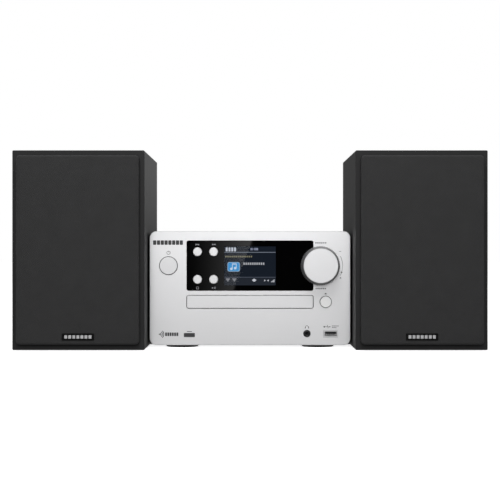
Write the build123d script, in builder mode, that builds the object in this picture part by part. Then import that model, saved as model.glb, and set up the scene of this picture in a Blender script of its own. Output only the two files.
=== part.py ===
from build123d import *
import math
import os

os.makedirs("parts", exist_ok=True)

# Mini hifi system: a main unit with a disc tray, between two free-standing speakers.
# X runs to the right, Y to the rear and Z up. Sizes are in millimetres.
# The origin is on the shelf, under the middle of the whole set.

# Main unit casing
main_width = 206.4
main_height = 117.1
main_depth = 215.0
panel_setback = 40.0        # panel face, behind the fronts of the speaker cabinets
panel_thickness = 3.0
panel_corner = 7.0
panel_chamfer = 0.5
casing_inset = 0.6          # the cover stands inside the panel's outline
cover_sheet = 1.0
cover_bend = 5.0
chassis_sheet = 1.2
chassis_flange = 10.0
slip = 0.1                  # clearance between sheet parts that slide together
rear_fitting_length = 9.0   # the longest rear fitting, beyond the rear panel

# Feet of the main unit
foot_height = 2.5
foot_diameter = 34.0
foot_spacing = 141.0
foot_inset = 21.0
foot_chamfer = 1.0

# Speakers
speaker_width = 131.8
speaker_height = 199.2
speaker_depth = 175.0
speaker_foot_height = 0.5
speaker_foot_radius = 8.0
speaker_foot_inset = 18.0
speaker_gap = 2.0           # between the main unit and each speaker
cabinet_wall = 9.0
baffle_thickness = 12.0
cabinet_edge = 1.2

# Grilles
grille_depth = 10.6
grille_side_inset = 4.9
grille_top_inset = 5.5
grille_bottom_inset = 6.0
grille_corner = 2.5
grille_bar = 9.0
grille_seat_gap = 0.3
cloth_thickness = 0.8
peg_radius = 3.0
peg_length = 8.0
peg_clearance = 0.1
peg_inset = 9.0

# Drivers
woofer_radius = 52.0
woofer_height = 65.0        # centre above the cabinet's underside
woofer_flange = 4.0
woofer_hole_radius = 49.5
woofer_depth = 58.0
basket_wall = 2.1
cone_depth = 18.0
cone_thickness = 1.0
cone_travel = 3.0
surround_width = 6.4
coil_radius = 13.0
driver_gap = 0.5
magnet_radius = 34.0
magnet_step = 4.0
basket_rise = 8.0
dust_cap_rise = 4.0
tweeter_radius = 30.0
tweeter_height = 147.0      # centre above the cabinet's underside
tweeter_flange = 4.0
dome_radius = 13.0
dome_sink = 3.0
tweeter_horn = 7.0
tweeter_body_radius = 22.0
tweeter_depth = 24.0
driver_clearance = 0.2

# Speaker terminal cup
cup_width = 50.0
cup_height = 36.0
cup_depth = 16.0
cup_wall = 2.0
cup_flange = 2.5
cup_flange_border = 7.0
cup_centre_height = 71.0
lever_width = 12.0
lever_height = 22.0
lever_thickness = 5.0
lever_spacing = 18.0
lever_pin_radius = 1.5
lever_pin_reach = 2.4
lever_pin_setback = 7.5     # inside the cabinet's rear face
lever_lift = 1.0
lever_edge = 0.8
lever_web = 5.0
ear_height = 6.0
ear_width = 5.0
ear_rise = 3.0
pin_clearance = 0.1

# Display window and what shows through it
window_width = 130.2
window_height = 51.5
window_corner = 2.0
window_gap = 0.15
window_recess = 0.3
window_z = 84.2
screen_width = 62.0
screen_height = 48.0
screen_thickness = 5.0
screen_gap = 0.4

# Push buttons
key_diameter = 8.8
key_gap = 0.35
key_outer_x = -53.9
key_inner_x = -37.4
key_upper_z = 98.5
key_lower_z = 70.1
power_diameter = 18.1
power_gap = 0.6
power_x = -83.8
power_z = 84.2
eject_diameter = 11.5
eject_gap = 0.5
eject_x = 77.8
button_proud = 1.2
button_travel = 0.8
button_flange = 1.2
button_flange_thickness = 1.2
button_stem_radius = 2.0

# Volume knob with its push-and-turn encoder
knob_x = 72.2
knob_z = 84.2
knob_diameter = 40.5
knob_face_diameter = 35.4
knob_length = 14.0
knob_standoff = 1.0
knob_cap_thickness = 1.5
knob_flutes = 72
knob_flute_radius = 0.45
knob_push = 0.6
knob_wall = 2.2
knob_hub_wall = 3.0
encoder_size = 14.0
encoder_gap = 1.0
encoder_wall = 3.0
slider_wall = 1.2
shaft_cover = 3.0           # knob left solid in front of the shaft
shaft_radius = 3.0
shaft_clearance = 0.05
bush_wall = 0.5
bush_gap = 0.2
bush_setback = 0.5

# Sockets on the front
jack_x = 58.5
jack_z = 14.4
jack_diameter = 7.3
jack_bore = 1.8
jack_length = 13.0
jack_body_width = 11.0
jack_body_height = 9.0
usb_x = 83.0
usb_z = 14.1
usb_width = 14.6
usb_height = 7.1
usb_slot_width = 12.4
usb_slot_height = 4.9
usb_slot_depth = 11.0
socket_gap = 0.2

# Panel carrier and front board
carrier_plate = 2.5
carrier_wall = 2.0
carrier_depth = 9.0
board_thickness = 1.6
board_distance = 14.0       # panel face to the front of the board
board_side_gap = 4.0
board_margin = 1.0          # board clear of the tray's slot
board_step = 12.0
switch_size = 6.0
switch_height = 3.4

# Disc tray and loader
tray_front_width = 130.0
tray_front_height = 13.2
tray_front_gap = 0.45
tray_front_proud = 0.8
tray_z = 47.0
tray_width = 128.0
tray_length = 150.0
tray_thickness = 6.0
tray_bottom = 43.7
tray_travel = 126.0
disc_well_radius = 61.0
small_disc_well_radius = 41.0
disc_well_depth = 2.5
small_disc_well_depth = 0.8
disc_centre_setback = 68.0
tray_slot_width = 46.0
rack_rib = 4.0
rack_height = 3.3
loader_clearance = 0.6
loader_wall = 2.5
loader_floor_z = 14.0
loader_setback = 18.0
loader_length = 140.0
loader_top = 55.0
bridge_half_width = 16.0
leg_radius = 4.0
leg_inset = 10.0
guide_width = 5.0
guide_thickness = 2.4
rail_block_width = 8.0
rail_block_length = 5.0
rail_grip = 6.0

# Loading gears: square-cut teeth with plenty of backlash
gear_module = 1.0
gear_teeth = 24
pinion_teeth = 8
tooth_width = 1.0
tooth_rise = 0.8
tooth_root = 1.1
gear_thickness = 2.8
gear_gap = 0.3
gear_setback = 24.0
gear_post_radius = 2.0
gear_post_collar = 2.0
pinion_shaft_radius = 1.0
pinion_shaft_length = 4.0
loading_motor_radius = 9.0
motor_gap = 2.0
shaft_end_gap = 1.0

# Disc drive
motor_radius = 13.0
motor_seat = 6.0
turntable_radius = 14.5
turntable_thickness = 2.0
turntable_lift = 0.7        # top of the turntable above the disc well
turntable_neck_radius = 5.0
disc_boss_radius = 7.3
disc_boss_height = 2.2
disc_boss_chamfer = 1.2
spindle_radius = 1.5
spindle_length = 7.0
spindle_rise = 7.0          # top of the motor above the sled's rails
spindle_gap = 0.5
puck_hole = 9.0
puck_play = 0.5
puck_lift = 1.2
puck_plate = 2.0
puck_rim = 4.0
puck_top = 2.5
rail_radius = 1.5
rail_spacing = 36.0
rail_z = 30.0
lens_start = 23.0
lens_travel = 35.0
sled_length = 26.0
sled_width = 46.0
sled_half_height = 5.0
lens_housing_radius = 6.0
lens_radius = 3.2
lens_height = 1.0
rail_front = 8.0            # first rail block, in front of the disc's centre
rail_rear = 78.0
rail_end = 2.5

# Rear fittings
rear_screw_pilot = 1.0
fitting_lip = 2.0
inlet_body_depth = 16.0
inlet_pin_spacing = 8.0
inlet_pin_radius = 1.2
inlet_pin_setback = 2.0
socket_body_depth = 14.0
speaker_port_depth = 10.0
aerial_wall = 0.8
aerial_core_radius = 2.4
aerial_core_bore = 1.2
aerial_core_setback = 1.5
aerial_body_depth = 6.0
aerial_floor = 1.0

# Boards inside
board_standoff = 4.0
standoff_radius = 3.0
main_board_left = -58.0
main_board_right = 92.0
main_board_front = 40.0     # behind the panel's face
main_board_rear_gap = 2.0
standoff_inset = 8.0
power_board_x = -86.0
power_board_front = 50.0
power_board_rear_gap = 30.0
power_board_top = 92.0

# Places worked out from the sizes above
total_depth = grille_depth + panel_setback + main_depth + rear_fitting_length
cabinet_front = grille_depth - total_depth / 2
cabinet_rear = cabinet_front + speaker_depth
panel_y = cabinet_front + panel_setback
panel_back = panel_y + panel_thickness
rear_y = panel_y + main_depth
panel_z = foot_height + main_height / 2
cover_x = main_width / 2 - casing_inset
cover_top = foot_height + main_height - casing_inset
chassis_z = foot_height + casing_inset
chassis_top = chassis_z + chassis_sheet
carrier_back = panel_back + carrier_plate
board_y = panel_y + board_distance
disc_y = panel_y + disc_centre_setback
tray_top = tray_bottom + tray_thickness
well_floor = tray_top - disc_well_depth
tray_start = panel_back + slip
speaker_x = main_width / 2 + speaker_gap + speaker_width / 2
speaker_top = speaker_foot_height + speaker_height
cone_radius = woofer_hole_radius - 2 * driver_gap - basket_wall - surround_width
bush_radius = shaft_radius + bush_wall
slider_radius = shaft_radius + slider_wall
knob_hub_radius = shaft_radius + knob_hub_wall
inner_x = cover_x - cover_sheet


def save(builder, name):
    """Label a finished piece and write it to its own file."""
    builder.part.label = name
    export_step(builder.part, f"parts/{name}.step")


def facing(y):
    """Plane across the set at depth y, looking out of its front, with Z up."""
    return Plane(origin=(0, y, 0), x_dir=(1, 0, 0), z_dir=(0, -1, 0))


def block(x, y, z, mode=Mode.ADD):
    """Box that fills the given X, Y and Z spans."""
    with Locations((sum(x) / 2, sum(y) / 2, sum(z) / 2)):
        Box(x[1] - x[0], y[1] - y[0], z[1] - z[0], mode=mode)


def post(x, y, radius, z, mode=Mode.ADD):
    """Upright cylinder over the span z."""
    with Locations((x, y, sum(z) / 2)):
        Cylinder(radius, z[1] - z[0], mode=mode)


def rod(x, z, radius, y, mode=Mode.ADD):
    """Cylinder that runs front to rear over the span y."""
    with Locations(Location((x, sum(y) / 2, z), (90, 0, 0))):
        Cylinder(radius, y[1] - y[0], mode=mode)


def crossbar(y, z, radius, x, mode=Mode.ADD):
    """Cylinder that runs left to right over the span x."""
    with Locations(Location((sum(x) / 2, y, z), (0, 90, 0))):
        Cylinder(radius, x[1] - x[0], mode=mode)


def span(middle, width):
    """The span of a given width about its middle."""
    return (middle - width / 2, middle + width / 2)


# Button places: name, X, Z, diameter and gap round the cap
small_keys = [
    ("previous_button", key_outer_x, key_upper_z),
    ("next_button", key_inner_x, key_upper_z),
    ("stop_button", key_outer_x, key_lower_z),
    ("play_button", key_inner_x, key_lower_z),
]
panel_keys = [
    ("power_button", power_x, power_z, power_diameter, power_gap),
    ("eject_button", eject_x, tray_z, eject_diameter, eject_gap),
]

# Aluminium front panel, pierced for the window, keys, tray and sockets
with BuildPart() as front_panel:
    with BuildSketch(facing(panel_y)):
        with Locations((0, panel_z)):
            RectangleRounded(main_width, main_height, panel_corner)
        with Locations((0, window_z)):
            RectangleRounded(
                window_width + 2 * window_gap,
                window_height + 2 * window_gap,
                window_corner + window_gap,
                mode=Mode.SUBTRACT,
            )
        for name, x, z, diameter, gap in panel_keys:
            with Locations((x, z)):
                Circle(diameter / 2 + gap, mode=Mode.SUBTRACT)
        with Locations((knob_x, knob_z)):
            Circle(bush_radius + bush_gap, mode=Mode.SUBTRACT)
        with Locations((0, tray_z)):
            RectangleRounded(
                tray_front_width + 2 * tray_front_gap,
                tray_front_height + 2 * tray_front_gap,
                window_corner + tray_front_gap,
                mode=Mode.SUBTRACT,
            )
        with Locations((jack_x, jack_z)):
            Circle(jack_diameter / 2 + socket_gap, mode=Mode.SUBTRACT)
        with Locations((usb_x, usb_z)):
            Rectangle(usb_width + 2 * socket_gap, usb_height + 2 * socket_gap, mode=Mode.SUBTRACT)
    extrude(amount=-panel_thickness)
    chamfer(front_panel.faces().sort_by(Axis.Y)[0].outer_wire().edges(), panel_chamfer)
save(front_panel, "front_panel")

# Gloss black window with holes for the four small keys
with BuildPart() as display_window:
    with BuildSketch(facing(panel_y + window_recess)):
        with Locations((0, window_z)):
            RectangleRounded(window_width, window_height, window_corner)
        for name, x, z in small_keys:
            with Locations((x, z)):
                Circle(key_diameter / 2 + key_gap, mode=Mode.SUBTRACT)
    extrude(amount=-(panel_thickness - window_recess))
save(display_window, "display_window")

# Colour screen behind the window
with BuildPart() as display_module:
    block(
        span(0, screen_width),
        (panel_back, panel_back + screen_thickness),
        span(window_z, screen_height),
    )
save(display_module, "display_module")

# Black plastic carrier behind the panel: a plate with a wall round it
carrier_x = inner_x - chassis_sheet - 2 * slip
carrier_low = chassis_top + 2 * slip
carrier_high = cover_top - cover_sheet - 2 * slip
with BuildPart() as panel_carrier:
    with BuildSketch(facing(panel_back)):
        with Locations((0, (carrier_low + carrier_high) / 2)):
            RectangleRounded(2 * carrier_x, carrier_high - carrier_low, cover_bend)
    extrude(amount=-carrier_depth)
    with BuildSketch(facing(carrier_back)):
        with Locations((0, (carrier_low + carrier_high) / 2)):
            RectangleRounded(
                2 * (carrier_x - carrier_wall),
                carrier_high - carrier_low - 2 * carrier_wall,
                cover_bend - carrier_wall,
            )
    extrude(amount=-carrier_depth, mode=Mode.SUBTRACT)
    with BuildSketch(facing(panel_back)):
        with Locations((0, window_z)):
            Rectangle(screen_width + 2 * screen_gap, screen_height + 2 * screen_gap)
        for name, x, z in small_keys:
            with Locations((x, z)):
                Circle(key_diameter / 2 + key_gap)
        for name, x, z, diameter, gap in panel_keys:
            with Locations((x, z)):
                Circle(diameter / 2 + gap)
        with Locations((knob_x, knob_z)):
            Circle(bush_radius + bush_gap)
        with Locations((0, tray_z)):
            Rectangle(
                tray_front_width + 2 * tray_front_gap,
                tray_front_height + 2 * tray_front_gap,
            )
        with Locations((jack_x, jack_z)):
            Circle(jack_diameter / 2 + socket_gap)
        with Locations((usb_x, usb_z)):
            Rectangle(usb_width + 2 * socket_gap, usb_height + 2 * socket_gap)
    extrude(amount=-carrier_plate, mode=Mode.SUBTRACT)
save(panel_carrier, "panel_carrier")


# Front board with its key switches, shaped to leave the tray free
switch_front = board_y - switch_height
tray_slot_top = tray_z + tray_front_height / 2 + tray_front_gap
tray_slot_bottom = tray_z - tray_front_height / 2 - tray_front_gap
tray_slot_end = tray_front_width / 2 + tray_front_gap
board_back = board_y + board_thickness
board_low = carrier_low + board_side_gap
board_high = carrier_high - board_side_gap
board_x = carrier_x - board_side_gap
with BuildPart() as front_board:
    board_span = (board_y, board_back)
    upper_edge = tray_slot_top + board_margin
    side_edge = tray_slot_end + board_margin
    block((-board_x, board_x), board_span, (upper_edge, board_high))
    block((side_edge, board_x), board_span, (board_low, upper_edge))
    block((jack_x - jack_body_width, side_edge), board_span, (board_low, tray_slot_bottom - board_step))
    for name, x, z in small_keys:
        block(span(x, switch_size), (switch_front, board_y), span(z, switch_size))
    for name, x, z, diameter, gap in panel_keys:
        block(span(x, switch_size), (switch_front, board_y), span(z, switch_size))
save(front_board, "front_board")


def make_button(name, x, z, diameter, gap):
    """Push button: a domed cap through the panel, a flange behind and a stem to its switch."""
    flange_start = carrier_back + slip
    flange_end = flange_start + button_flange_thickness
    stem_end = switch_front - button_travel - 2 * slip
    with BuildPart() as button:
        rod(x, z, diameter / 2, (panel_y - button_proud, flange_start))
        cap_edge = button.faces().sort_by(Axis.Y)[0].outer_wire().edges()
        fillet(cap_edge, button_proud / 3)
        rod(x, z, diameter / 2 + gap + button_flange, (flange_start, flange_end))
        rod(x, z, button_stem_radius, (flange_end, stem_end))
    save(button, name)


for name, x, z in small_keys:
    make_button(name, x, z, key_diameter, key_gap)
for name, x, z, diameter, gap in panel_keys:
    make_button(name, x, z, diameter, gap)

# Push-and-turn encoder on the front board
encoder_front = carrier_back + encoder_gap
slider_room = (encoder_front + encoder_wall, board_y - encoder_gap)
slider_span = (slider_room[0] + slip, slider_room[1] - knob_push - 2 * slip)
bush_front = panel_y + bush_setback
with BuildPart() as encoder_body:
    block(span(knob_x, encoder_size), (encoder_front, board_y), span(knob_z, encoder_size))
    rod(knob_x, knob_z, bush_radius, (bush_front, encoder_front))
    rod(knob_x, knob_z, shaft_radius + shaft_clearance, (bush_front, slider_room[0]), Mode.SUBTRACT)
    rod(knob_x, knob_z, slider_radius + slip, slider_room, Mode.SUBTRACT)
save(encoder_body, "encoder_body")

with BuildPart() as encoder_slider:
    rod(knob_x, knob_z, slider_radius, slider_span)
save(encoder_slider, "encoder_slider")

knob_back = panel_y - knob_standoff
knob_front = knob_back - knob_length
cap_back = knob_front + knob_cap_thickness
shaft_front = cap_back + shaft_cover
with BuildPart() as encoder_shaft:
    rod(knob_x, knob_z, shaft_radius, (shaft_front, slider_span[0] - slip / 2))
save(encoder_shaft, "encoder_shaft")

# Knob: a tapered shell with fine flutes, and a hub bored for the shaft
with BuildPart() as volume_knob:
    with BuildSketch(facing(knob_back)):
        with Locations((knob_x, knob_z)):
            Circle(knob_diameter / 2)
    with BuildSketch(facing(cap_back)):
        with Locations((knob_x, knob_z)):
            Circle(knob_face_diameter / 2)
    loft()
    flute_radius = (knob_diameter + knob_face_diameter) / 4
    flute_lean = math.degrees(math.atan((knob_diameter - knob_face_diameter) / 2 / knob_length))
    for index in range(knob_flutes):
        turn = 360 / knob_flutes * index
        spot = Location((knob_x, (knob_back + cap_back) / 2, knob_z), (0, turn, 0))
        spot = spot * Location((flute_radius, 0, 0), (90, -flute_lean, 0))
        with Locations(spot):
            Cylinder(knob_flute_radius, 1.3 * knob_length, mode=Mode.SUBTRACT)
    hollow = (cap_back + knob_wall, knob_back)
    rod(knob_x, knob_z, knob_face_diameter / 2 - knob_wall, hollow, Mode.SUBTRACT)
    rod(knob_x, knob_z, knob_hub_radius, hollow)
    rod(knob_x, knob_z, shaft_radius, (shaft_front, knob_back), Mode.SUBTRACT)
save(volume_knob, "volume_knob")

# Aluminium cap on the knob's face
with BuildPart() as knob_cap:
    rod(knob_x, knob_z, knob_face_diameter / 2, (knob_front, cap_back))
    chamfer(knob_cap.faces().sort_by(Axis.Y)[0].outer_wire().edges(), knob_cap_thickness / 3)
save(knob_cap, "knob_cap")

# Headphone socket: a round nose through the panel and a body on the board
jack_body = (carrier_back + slip, board_y)
with BuildPart() as headphone_jack:
    rod(jack_x, jack_z, jack_diameter / 2, (panel_y, jack_body[0]))
    block(span(jack_x, jack_body_width), jack_body, span(jack_z, jack_body_height))
    rod(jack_x, jack_z, jack_bore, (panel_y, panel_y + jack_length), Mode.SUBTRACT)
save(headphone_jack, "headphone_jack")

# USB socket: a flanged sleeve with a slot for the plug
with BuildPart() as usb_socket:
    block(span(usb_x, usb_width), (panel_y, board_y), span(usb_z, usb_height))
    block(
        span(usb_x, usb_slot_width),
        (panel_y, panel_y + usb_slot_depth),
        span(usb_z, usb_slot_height),
        Mode.SUBTRACT,
    )
save(usb_socket, "usb_socket")

# Bottom chassis: a folded steel tray that carries the feet
chassis_x = inner_x - slip
chassis_y = (panel_back, rear_y - chassis_sheet)
with BuildPart() as bottom_chassis:
    block((-chassis_x, chassis_x), chassis_y, (chassis_z, chassis_top))
    for side in (-1, 1):
        flange_x = sorted((side * chassis_x, side * (chassis_x - chassis_sheet)))
        block(flange_x, chassis_y, (chassis_top, chassis_top + chassis_flange))
save(bottom_chassis, "bottom_chassis")

# Top cover: one sheet over the top and down both sides, with vent slots
vent_length = 34.0
vent_width = 3.0
vent_pitch = 8.0
vent_count = 16
vent_inset = 50.0
side_vent_count = 8
with BuildPart() as top_cover:
    with BuildSketch(facing(panel_back)):
        with Locations((0, (chassis_z + cover_top) / 2)):
            RectangleRounded(2 * cover_x, cover_top - chassis_z, cover_bend)
        with Locations((0, chassis_z + cover_bend / 2)):
            Rectangle(2 * cover_x, cover_bend)
        with Locations((0, (chassis_z + cover_top) / 2)):
            RectangleRounded(2 * inner_x, cover_top - chassis_z - 2 * cover_sheet,
                             cover_bend - cover_sheet, mode=Mode.SUBTRACT)
        with Locations((0, chassis_z + cover_bend / 2)):
            Rectangle(2 * inner_x, cover_bend, mode=Mode.SUBTRACT)
    extrude(amount=panel_back - rear_y)
    with BuildSketch(Plane.XY.offset(cover_top)):
        with Locations((0, rear_y - vent_inset)):
            with GridLocations(vent_pitch, 1, vent_count, 1):
                SlotOverall(vent_length, vent_width, rotation=90)
    extrude(amount=-2 * cover_sheet, mode=Mode.SUBTRACT)
    with BuildSketch(Plane.YZ.offset(-cover_x - 1)):
        with Locations((rear_y - vent_inset, panel_z + vent_length / 2)):
            with GridLocations(vent_pitch, 1, side_vent_count, 1):
                SlotOverall(vent_length, vent_width, rotation=90)
    extrude(amount=2 * cover_x + 2, mode=Mode.SUBTRACT)
save(top_cover, "top_cover")

# Rear panel with its holes, and what stands in them
rear_low = chassis_z
rear_high = cover_top - cover_sheet - slip
rear_x = inner_x - slip
inlet_x = -72.0
inlet_z = 30.0
inlet_width = 26.0
inlet_height = 18.0
inlet_well_width = 16.5
inlet_well_height = 9.0
inlet_well_depth = 11.0
speaker_block_x = 40.0
speaker_block_z = 30.0
speaker_block_width = 52.0
speaker_block_height = 18.0
speaker_port_width = 12.0
speaker_port_height = 8.0
speaker_port_spacing = 26.0
aerial_x = 76.0
aerial_z = 92.0
aerial_radius = 4.8
aerial_plate_size = 18.0
screw_radius = 1.5
screw_head_radius = 3.0
screw_head = 1.8
screw_inset = 7.0
rear_vent_z = 88.0
screw_spots = [
    (x, z)
    for x in (-rear_x + screw_inset, 0, rear_x - screw_inset)
    for z in (rear_low + screw_inset, rear_high - screw_inset)
]
with BuildPart() as rear_panel:
    with BuildSketch(facing(rear_y)):
        with Locations((0, (rear_low + rear_high) / 2)):
            RectangleRounded(2 * rear_x, rear_high - rear_low, cover_bend - cover_sheet - slip)
        with Locations((0, rear_low + cover_bend / 2)):
            Rectangle(2 * rear_x, cover_bend)
        with Locations((inlet_x, inlet_z)):
            Rectangle(inlet_width + 2 * slip, inlet_height + 2 * slip, mode=Mode.SUBTRACT)
        with Locations((speaker_block_x, speaker_block_z)):
            Rectangle(speaker_block_width + 2 * slip, speaker_block_height + 2 * slip, mode=Mode.SUBTRACT)
        with Locations((aerial_x, aerial_z)):
            Circle(aerial_radius + slip, mode=Mode.SUBTRACT)
        for x, z in screw_spots:
            with Locations((x, z)):
                Circle(screw_radius + slip, mode=Mode.SUBTRACT)
        with Locations((-30, rear_vent_z)):
            with GridLocations(vent_pitch, 1, vent_count // 2, 1):
                SlotOverall(vent_length, vent_width, rotation=90, mode=Mode.SUBTRACT)
    extrude(amount=chassis_sheet)
save(rear_panel, "rear_panel")

rear_inside = rear_y - chassis_sheet
with BuildPart() as mains_inlet:
    inlet_face = rear_y + fitting_lip
    inlet_span = (rear_inside - inlet_body_depth, inlet_face)
    block(span(inlet_x, inlet_width), inlet_span, span(inlet_z, inlet_height))
    with BuildSketch(facing(inlet_face)):
        with Locations((inlet_x, inlet_z)):
            SlotOverall(inlet_well_width, inlet_well_height)
    extrude(amount=inlet_well_depth, mode=Mode.SUBTRACT)
    pin_span = (inlet_face - inlet_well_depth, inlet_face - inlet_pin_setback)
    for x in span(inlet_x, inlet_pin_spacing):
        rod(x, inlet_z, inlet_pin_radius, pin_span)
save(mains_inlet, "mains_inlet")

with BuildPart() as speaker_sockets:
    block_face = rear_y + fitting_lip
    block_span = (rear_inside - socket_body_depth, block_face)
    port_span = (block_face - speaker_port_depth, block_face)
    port_z = span(speaker_block_z, speaker_port_height)
    block_x = span(speaker_block_x, speaker_block_width)
    block_z = span(speaker_block_z, speaker_block_height)
    block(block_x, block_span, block_z)
    for port_x in span(speaker_block_x, speaker_port_spacing):
        block(span(port_x, speaker_port_width), port_span, port_z, Mode.SUBTRACT)
save(speaker_sockets, "speaker_sockets")

with BuildPart() as aerial_socket:
    aerial_end = rear_y + rear_fitting_length
    aerial_hollow = rear_y + aerial_floor
    core_end = aerial_end - aerial_core_setback
    aerial_plate = (rear_inside - aerial_body_depth, rear_inside)
    rod(aerial_x, aerial_z, aerial_radius, (rear_inside, aerial_end))
    block(span(aerial_x, aerial_plate_size), aerial_plate, span(aerial_z, aerial_plate_size))
    rod(aerial_x, aerial_z, aerial_radius - aerial_wall, (aerial_hollow, aerial_end), Mode.SUBTRACT)
    rod(aerial_x, aerial_z, aerial_core_radius, (rear_y, core_end))
    rod(aerial_x, aerial_z, aerial_core_bore, (aerial_hollow, core_end), Mode.SUBTRACT)
save(aerial_socket, "aerial_socket")

# Six screws hold the rear panel
with BuildPart() as rear_screws:
    for x, z in screw_spots:
        rod(x, z, screw_radius, (rear_y - rear_screw_pilot, rear_y))
        rod(x, z, screw_head_radius, (rear_y, rear_y + screw_head))
save(rear_screws, "rear_screws")

with BuildPart() as main_feet:
    for x in (-foot_spacing / 2, foot_spacing / 2):
        for y in (panel_y + foot_inset, rear_y - foot_inset):
            post(x, y, foot_diameter / 2, (0, chassis_z))
    chamfer(main_feet.faces().group_by(Axis.Z)[0].edges(), foot_chamfer)
save(main_feet, "main_feet")

# Disc tray and its front
with BuildPart() as tray_front:
    with BuildSketch(facing(panel_back)):
        with Locations((0, tray_z)):
            RectangleRounded(tray_front_width, tray_front_height, window_corner)
    extrude(amount=panel_thickness + tray_front_proud)
    chamfer(tray_front.faces().sort_by(Axis.Y)[0].outer_wire().edges(), panel_chamfer)
save(tray_front, "tray_front")

tray_x = tray_width / 2
tray_end = tray_start + tray_length
rack_pitch = math.pi * gear_module
gear_radius = gear_module * gear_teeth / 2
pinion_radius = gear_module * pinion_teeth / 2
rack_face = -tray_x + rack_rib
gear_x = rack_face + gear_radius + tooth_root
gear_y = panel_y + gear_setback
rack_low = tray_bottom - rack_height
rack_span = (rack_low, tray_bottom)
tooth_height = tooth_rise + tooth_root - gear_gap
first_tooth = math.ceil((tray_start - gear_y) / rack_pitch)
last_tooth = math.floor((tray_end - gear_y) / rack_pitch) - 1
with BuildPart() as disc_tray:
    block((-tray_x, tray_x), (tray_start - slip, tray_end), (tray_bottom, tray_top))
    post(0, disc_y, disc_well_radius, (well_floor, tray_top), Mode.SUBTRACT)
    post(0, disc_y, small_disc_well_radius, (well_floor - small_disc_well_depth, well_floor), Mode.SUBTRACT)
    post(0, disc_y, tray_slot_width / 2, (tray_bottom, tray_top), Mode.SUBTRACT)
    block(span(0, tray_slot_width), (disc_y, tray_end), (tray_bottom, tray_top), Mode.SUBTRACT)
    block((-tray_x, rack_face), (tray_start, tray_end), rack_span)
    for index in range(first_tooth, last_tooth):
        tooth_y = gear_y + (index + 0.5) * rack_pitch
        block((rack_face, rack_face + tooth_height), span(tooth_y, tooth_width), rack_span)
save(disc_tray, "disc_tray")

# Loading gears: the motor's pinion turns the drive gear, and the gear moves the rack
gear_low = rack_low + slip
gear_high = gear_low + gear_thickness
pinion_y = gear_y + gear_radius + pinion_radius


def cut_gear(teeth, pitch_radius, first_angle):
    """Toothed disc with square-cut teeth, drawn about the sketch's origin."""
    root_radius = pitch_radius - tooth_root
    Circle(root_radius)
    with PolarLocations(root_radius - 0.5, teeth, start_angle=first_angle):
        Rectangle(tooth_height + 0.5, tooth_width, align=(Align.MIN, Align.CENTER))


with BuildPart() as drive_gear:
    with BuildSketch(Plane((gear_x, gear_y, gear_low))):
        cut_gear(gear_teeth, gear_radius, 0)
        Circle(gear_post_radius + shaft_clearance, mode=Mode.SUBTRACT)
    extrude(amount=gear_thickness)
save(drive_gear, "drive_gear")

motor_top = gear_low - motor_gap
with BuildPart() as motor_pinion:
    with BuildSketch(Plane((gear_x, pinion_y, gear_low))):
        cut_gear(pinion_teeth, pinion_radius, 180 / pinion_teeth)
    extrude(amount=gear_thickness)
    post(gear_x, pinion_y, pinion_shaft_radius, (motor_top - pinion_shaft_length, gear_low))
save(motor_pinion, "motor_pinion")

loader_floor = (loader_floor_z, loader_floor_z + loader_wall)
with BuildPart() as loading_motor:
    motor_bore = (motor_top - pinion_shaft_length - shaft_end_gap, motor_top)
    post(gear_x, pinion_y, loading_motor_radius, (loader_floor[1], motor_top))
    post(gear_x, pinion_y, pinion_shaft_radius + shaft_clearance, motor_bore, Mode.SUBTRACT)
save(loading_motor, "loading_motor")

# Loader: a plastic tub with side walls, a bridge over the disc and the gear's post
loader_x = tray_x + loader_clearance
loader_y = (panel_y + loader_setback, panel_y + loader_setback + loader_length)
loader_outer = loader_x + loader_wall
rail_y = (disc_y - rail_front, disc_y + rail_rear)
leg_spots = [
    (side * (loader_outer - leg_radius - board_margin), y)
    for side in (-1, 1)
    for y in (loader_y[0] + leg_inset, loader_y[1] - leg_inset)
]
guide_high = tray_bottom - loader_clearance
rack_guide_high = rack_low - loader_clearance
with BuildPart() as loader_frame:
    block((-loader_outer, loader_outer), loader_y, loader_floor)
    for side in (-1, 1):
        wall_x = sorted((side * loader_x, side * loader_outer))
        block(wall_x, loader_y, (loader_floor_z, loader_top))
        for y in rail_y:
            rail_block = (loader_floor[1], rail_z + rail_block_width / 2)
            block(span(side * rail_spacing / 2, rail_block_width), span(y, rail_block_length), rail_block)
            rod(side * rail_spacing / 2, rail_z, rail_radius, span(y, rail_grip), Mode.SUBTRACT)
    for x, y in leg_spots:
        post(x, y, leg_radius, (chassis_top, loader_floor_z))
    block((loader_x - guide_width, loader_x), loader_y, (guide_high - guide_thickness, guide_high))
    rack_guide_z = (rack_guide_high - guide_thickness, rack_guide_high)
    block((-loader_x, board_margin - tray_x), loader_y, rack_guide_z)
    bridge_y = (disc_y - bridge_half_width, disc_y + bridge_half_width)
    block((-loader_outer, loader_outer), bridge_y, (loader_top, loader_top + loader_wall))
    post(0, disc_y, puck_hole, (loader_top, loader_top + loader_wall), Mode.SUBTRACT)
    collar_radius = gear_post_radius + gear_post_collar
    post(gear_x, gear_y, collar_radius, (loader_floor[1], gear_low - gear_gap))
    post(gear_x, gear_y, gear_post_radius, (gear_low - gear_gap, gear_high + gear_gap / 2))
    post(0, disc_y, motor_radius, (loader_floor[1], loader_floor[1] + motor_seat))
save(loader_frame, "loader_frame")

# Magnet puck that hangs in the bridge and clamps the disc
puck_low = tray_top + puck_lift
bridge_top = loader_top + loader_wall
with BuildPart() as clamp_puck:
    post(0, disc_y, turntable_radius, (puck_low, puck_low + puck_plate))
    post(0, disc_y, puck_hole - puck_play, (puck_low + puck_plate, bridge_top + gear_gap))
    post(0, disc_y, puck_hole + puck_rim, (bridge_top + gear_gap, bridge_top + puck_top))
save(clamp_puck, "clamp_puck")

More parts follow.
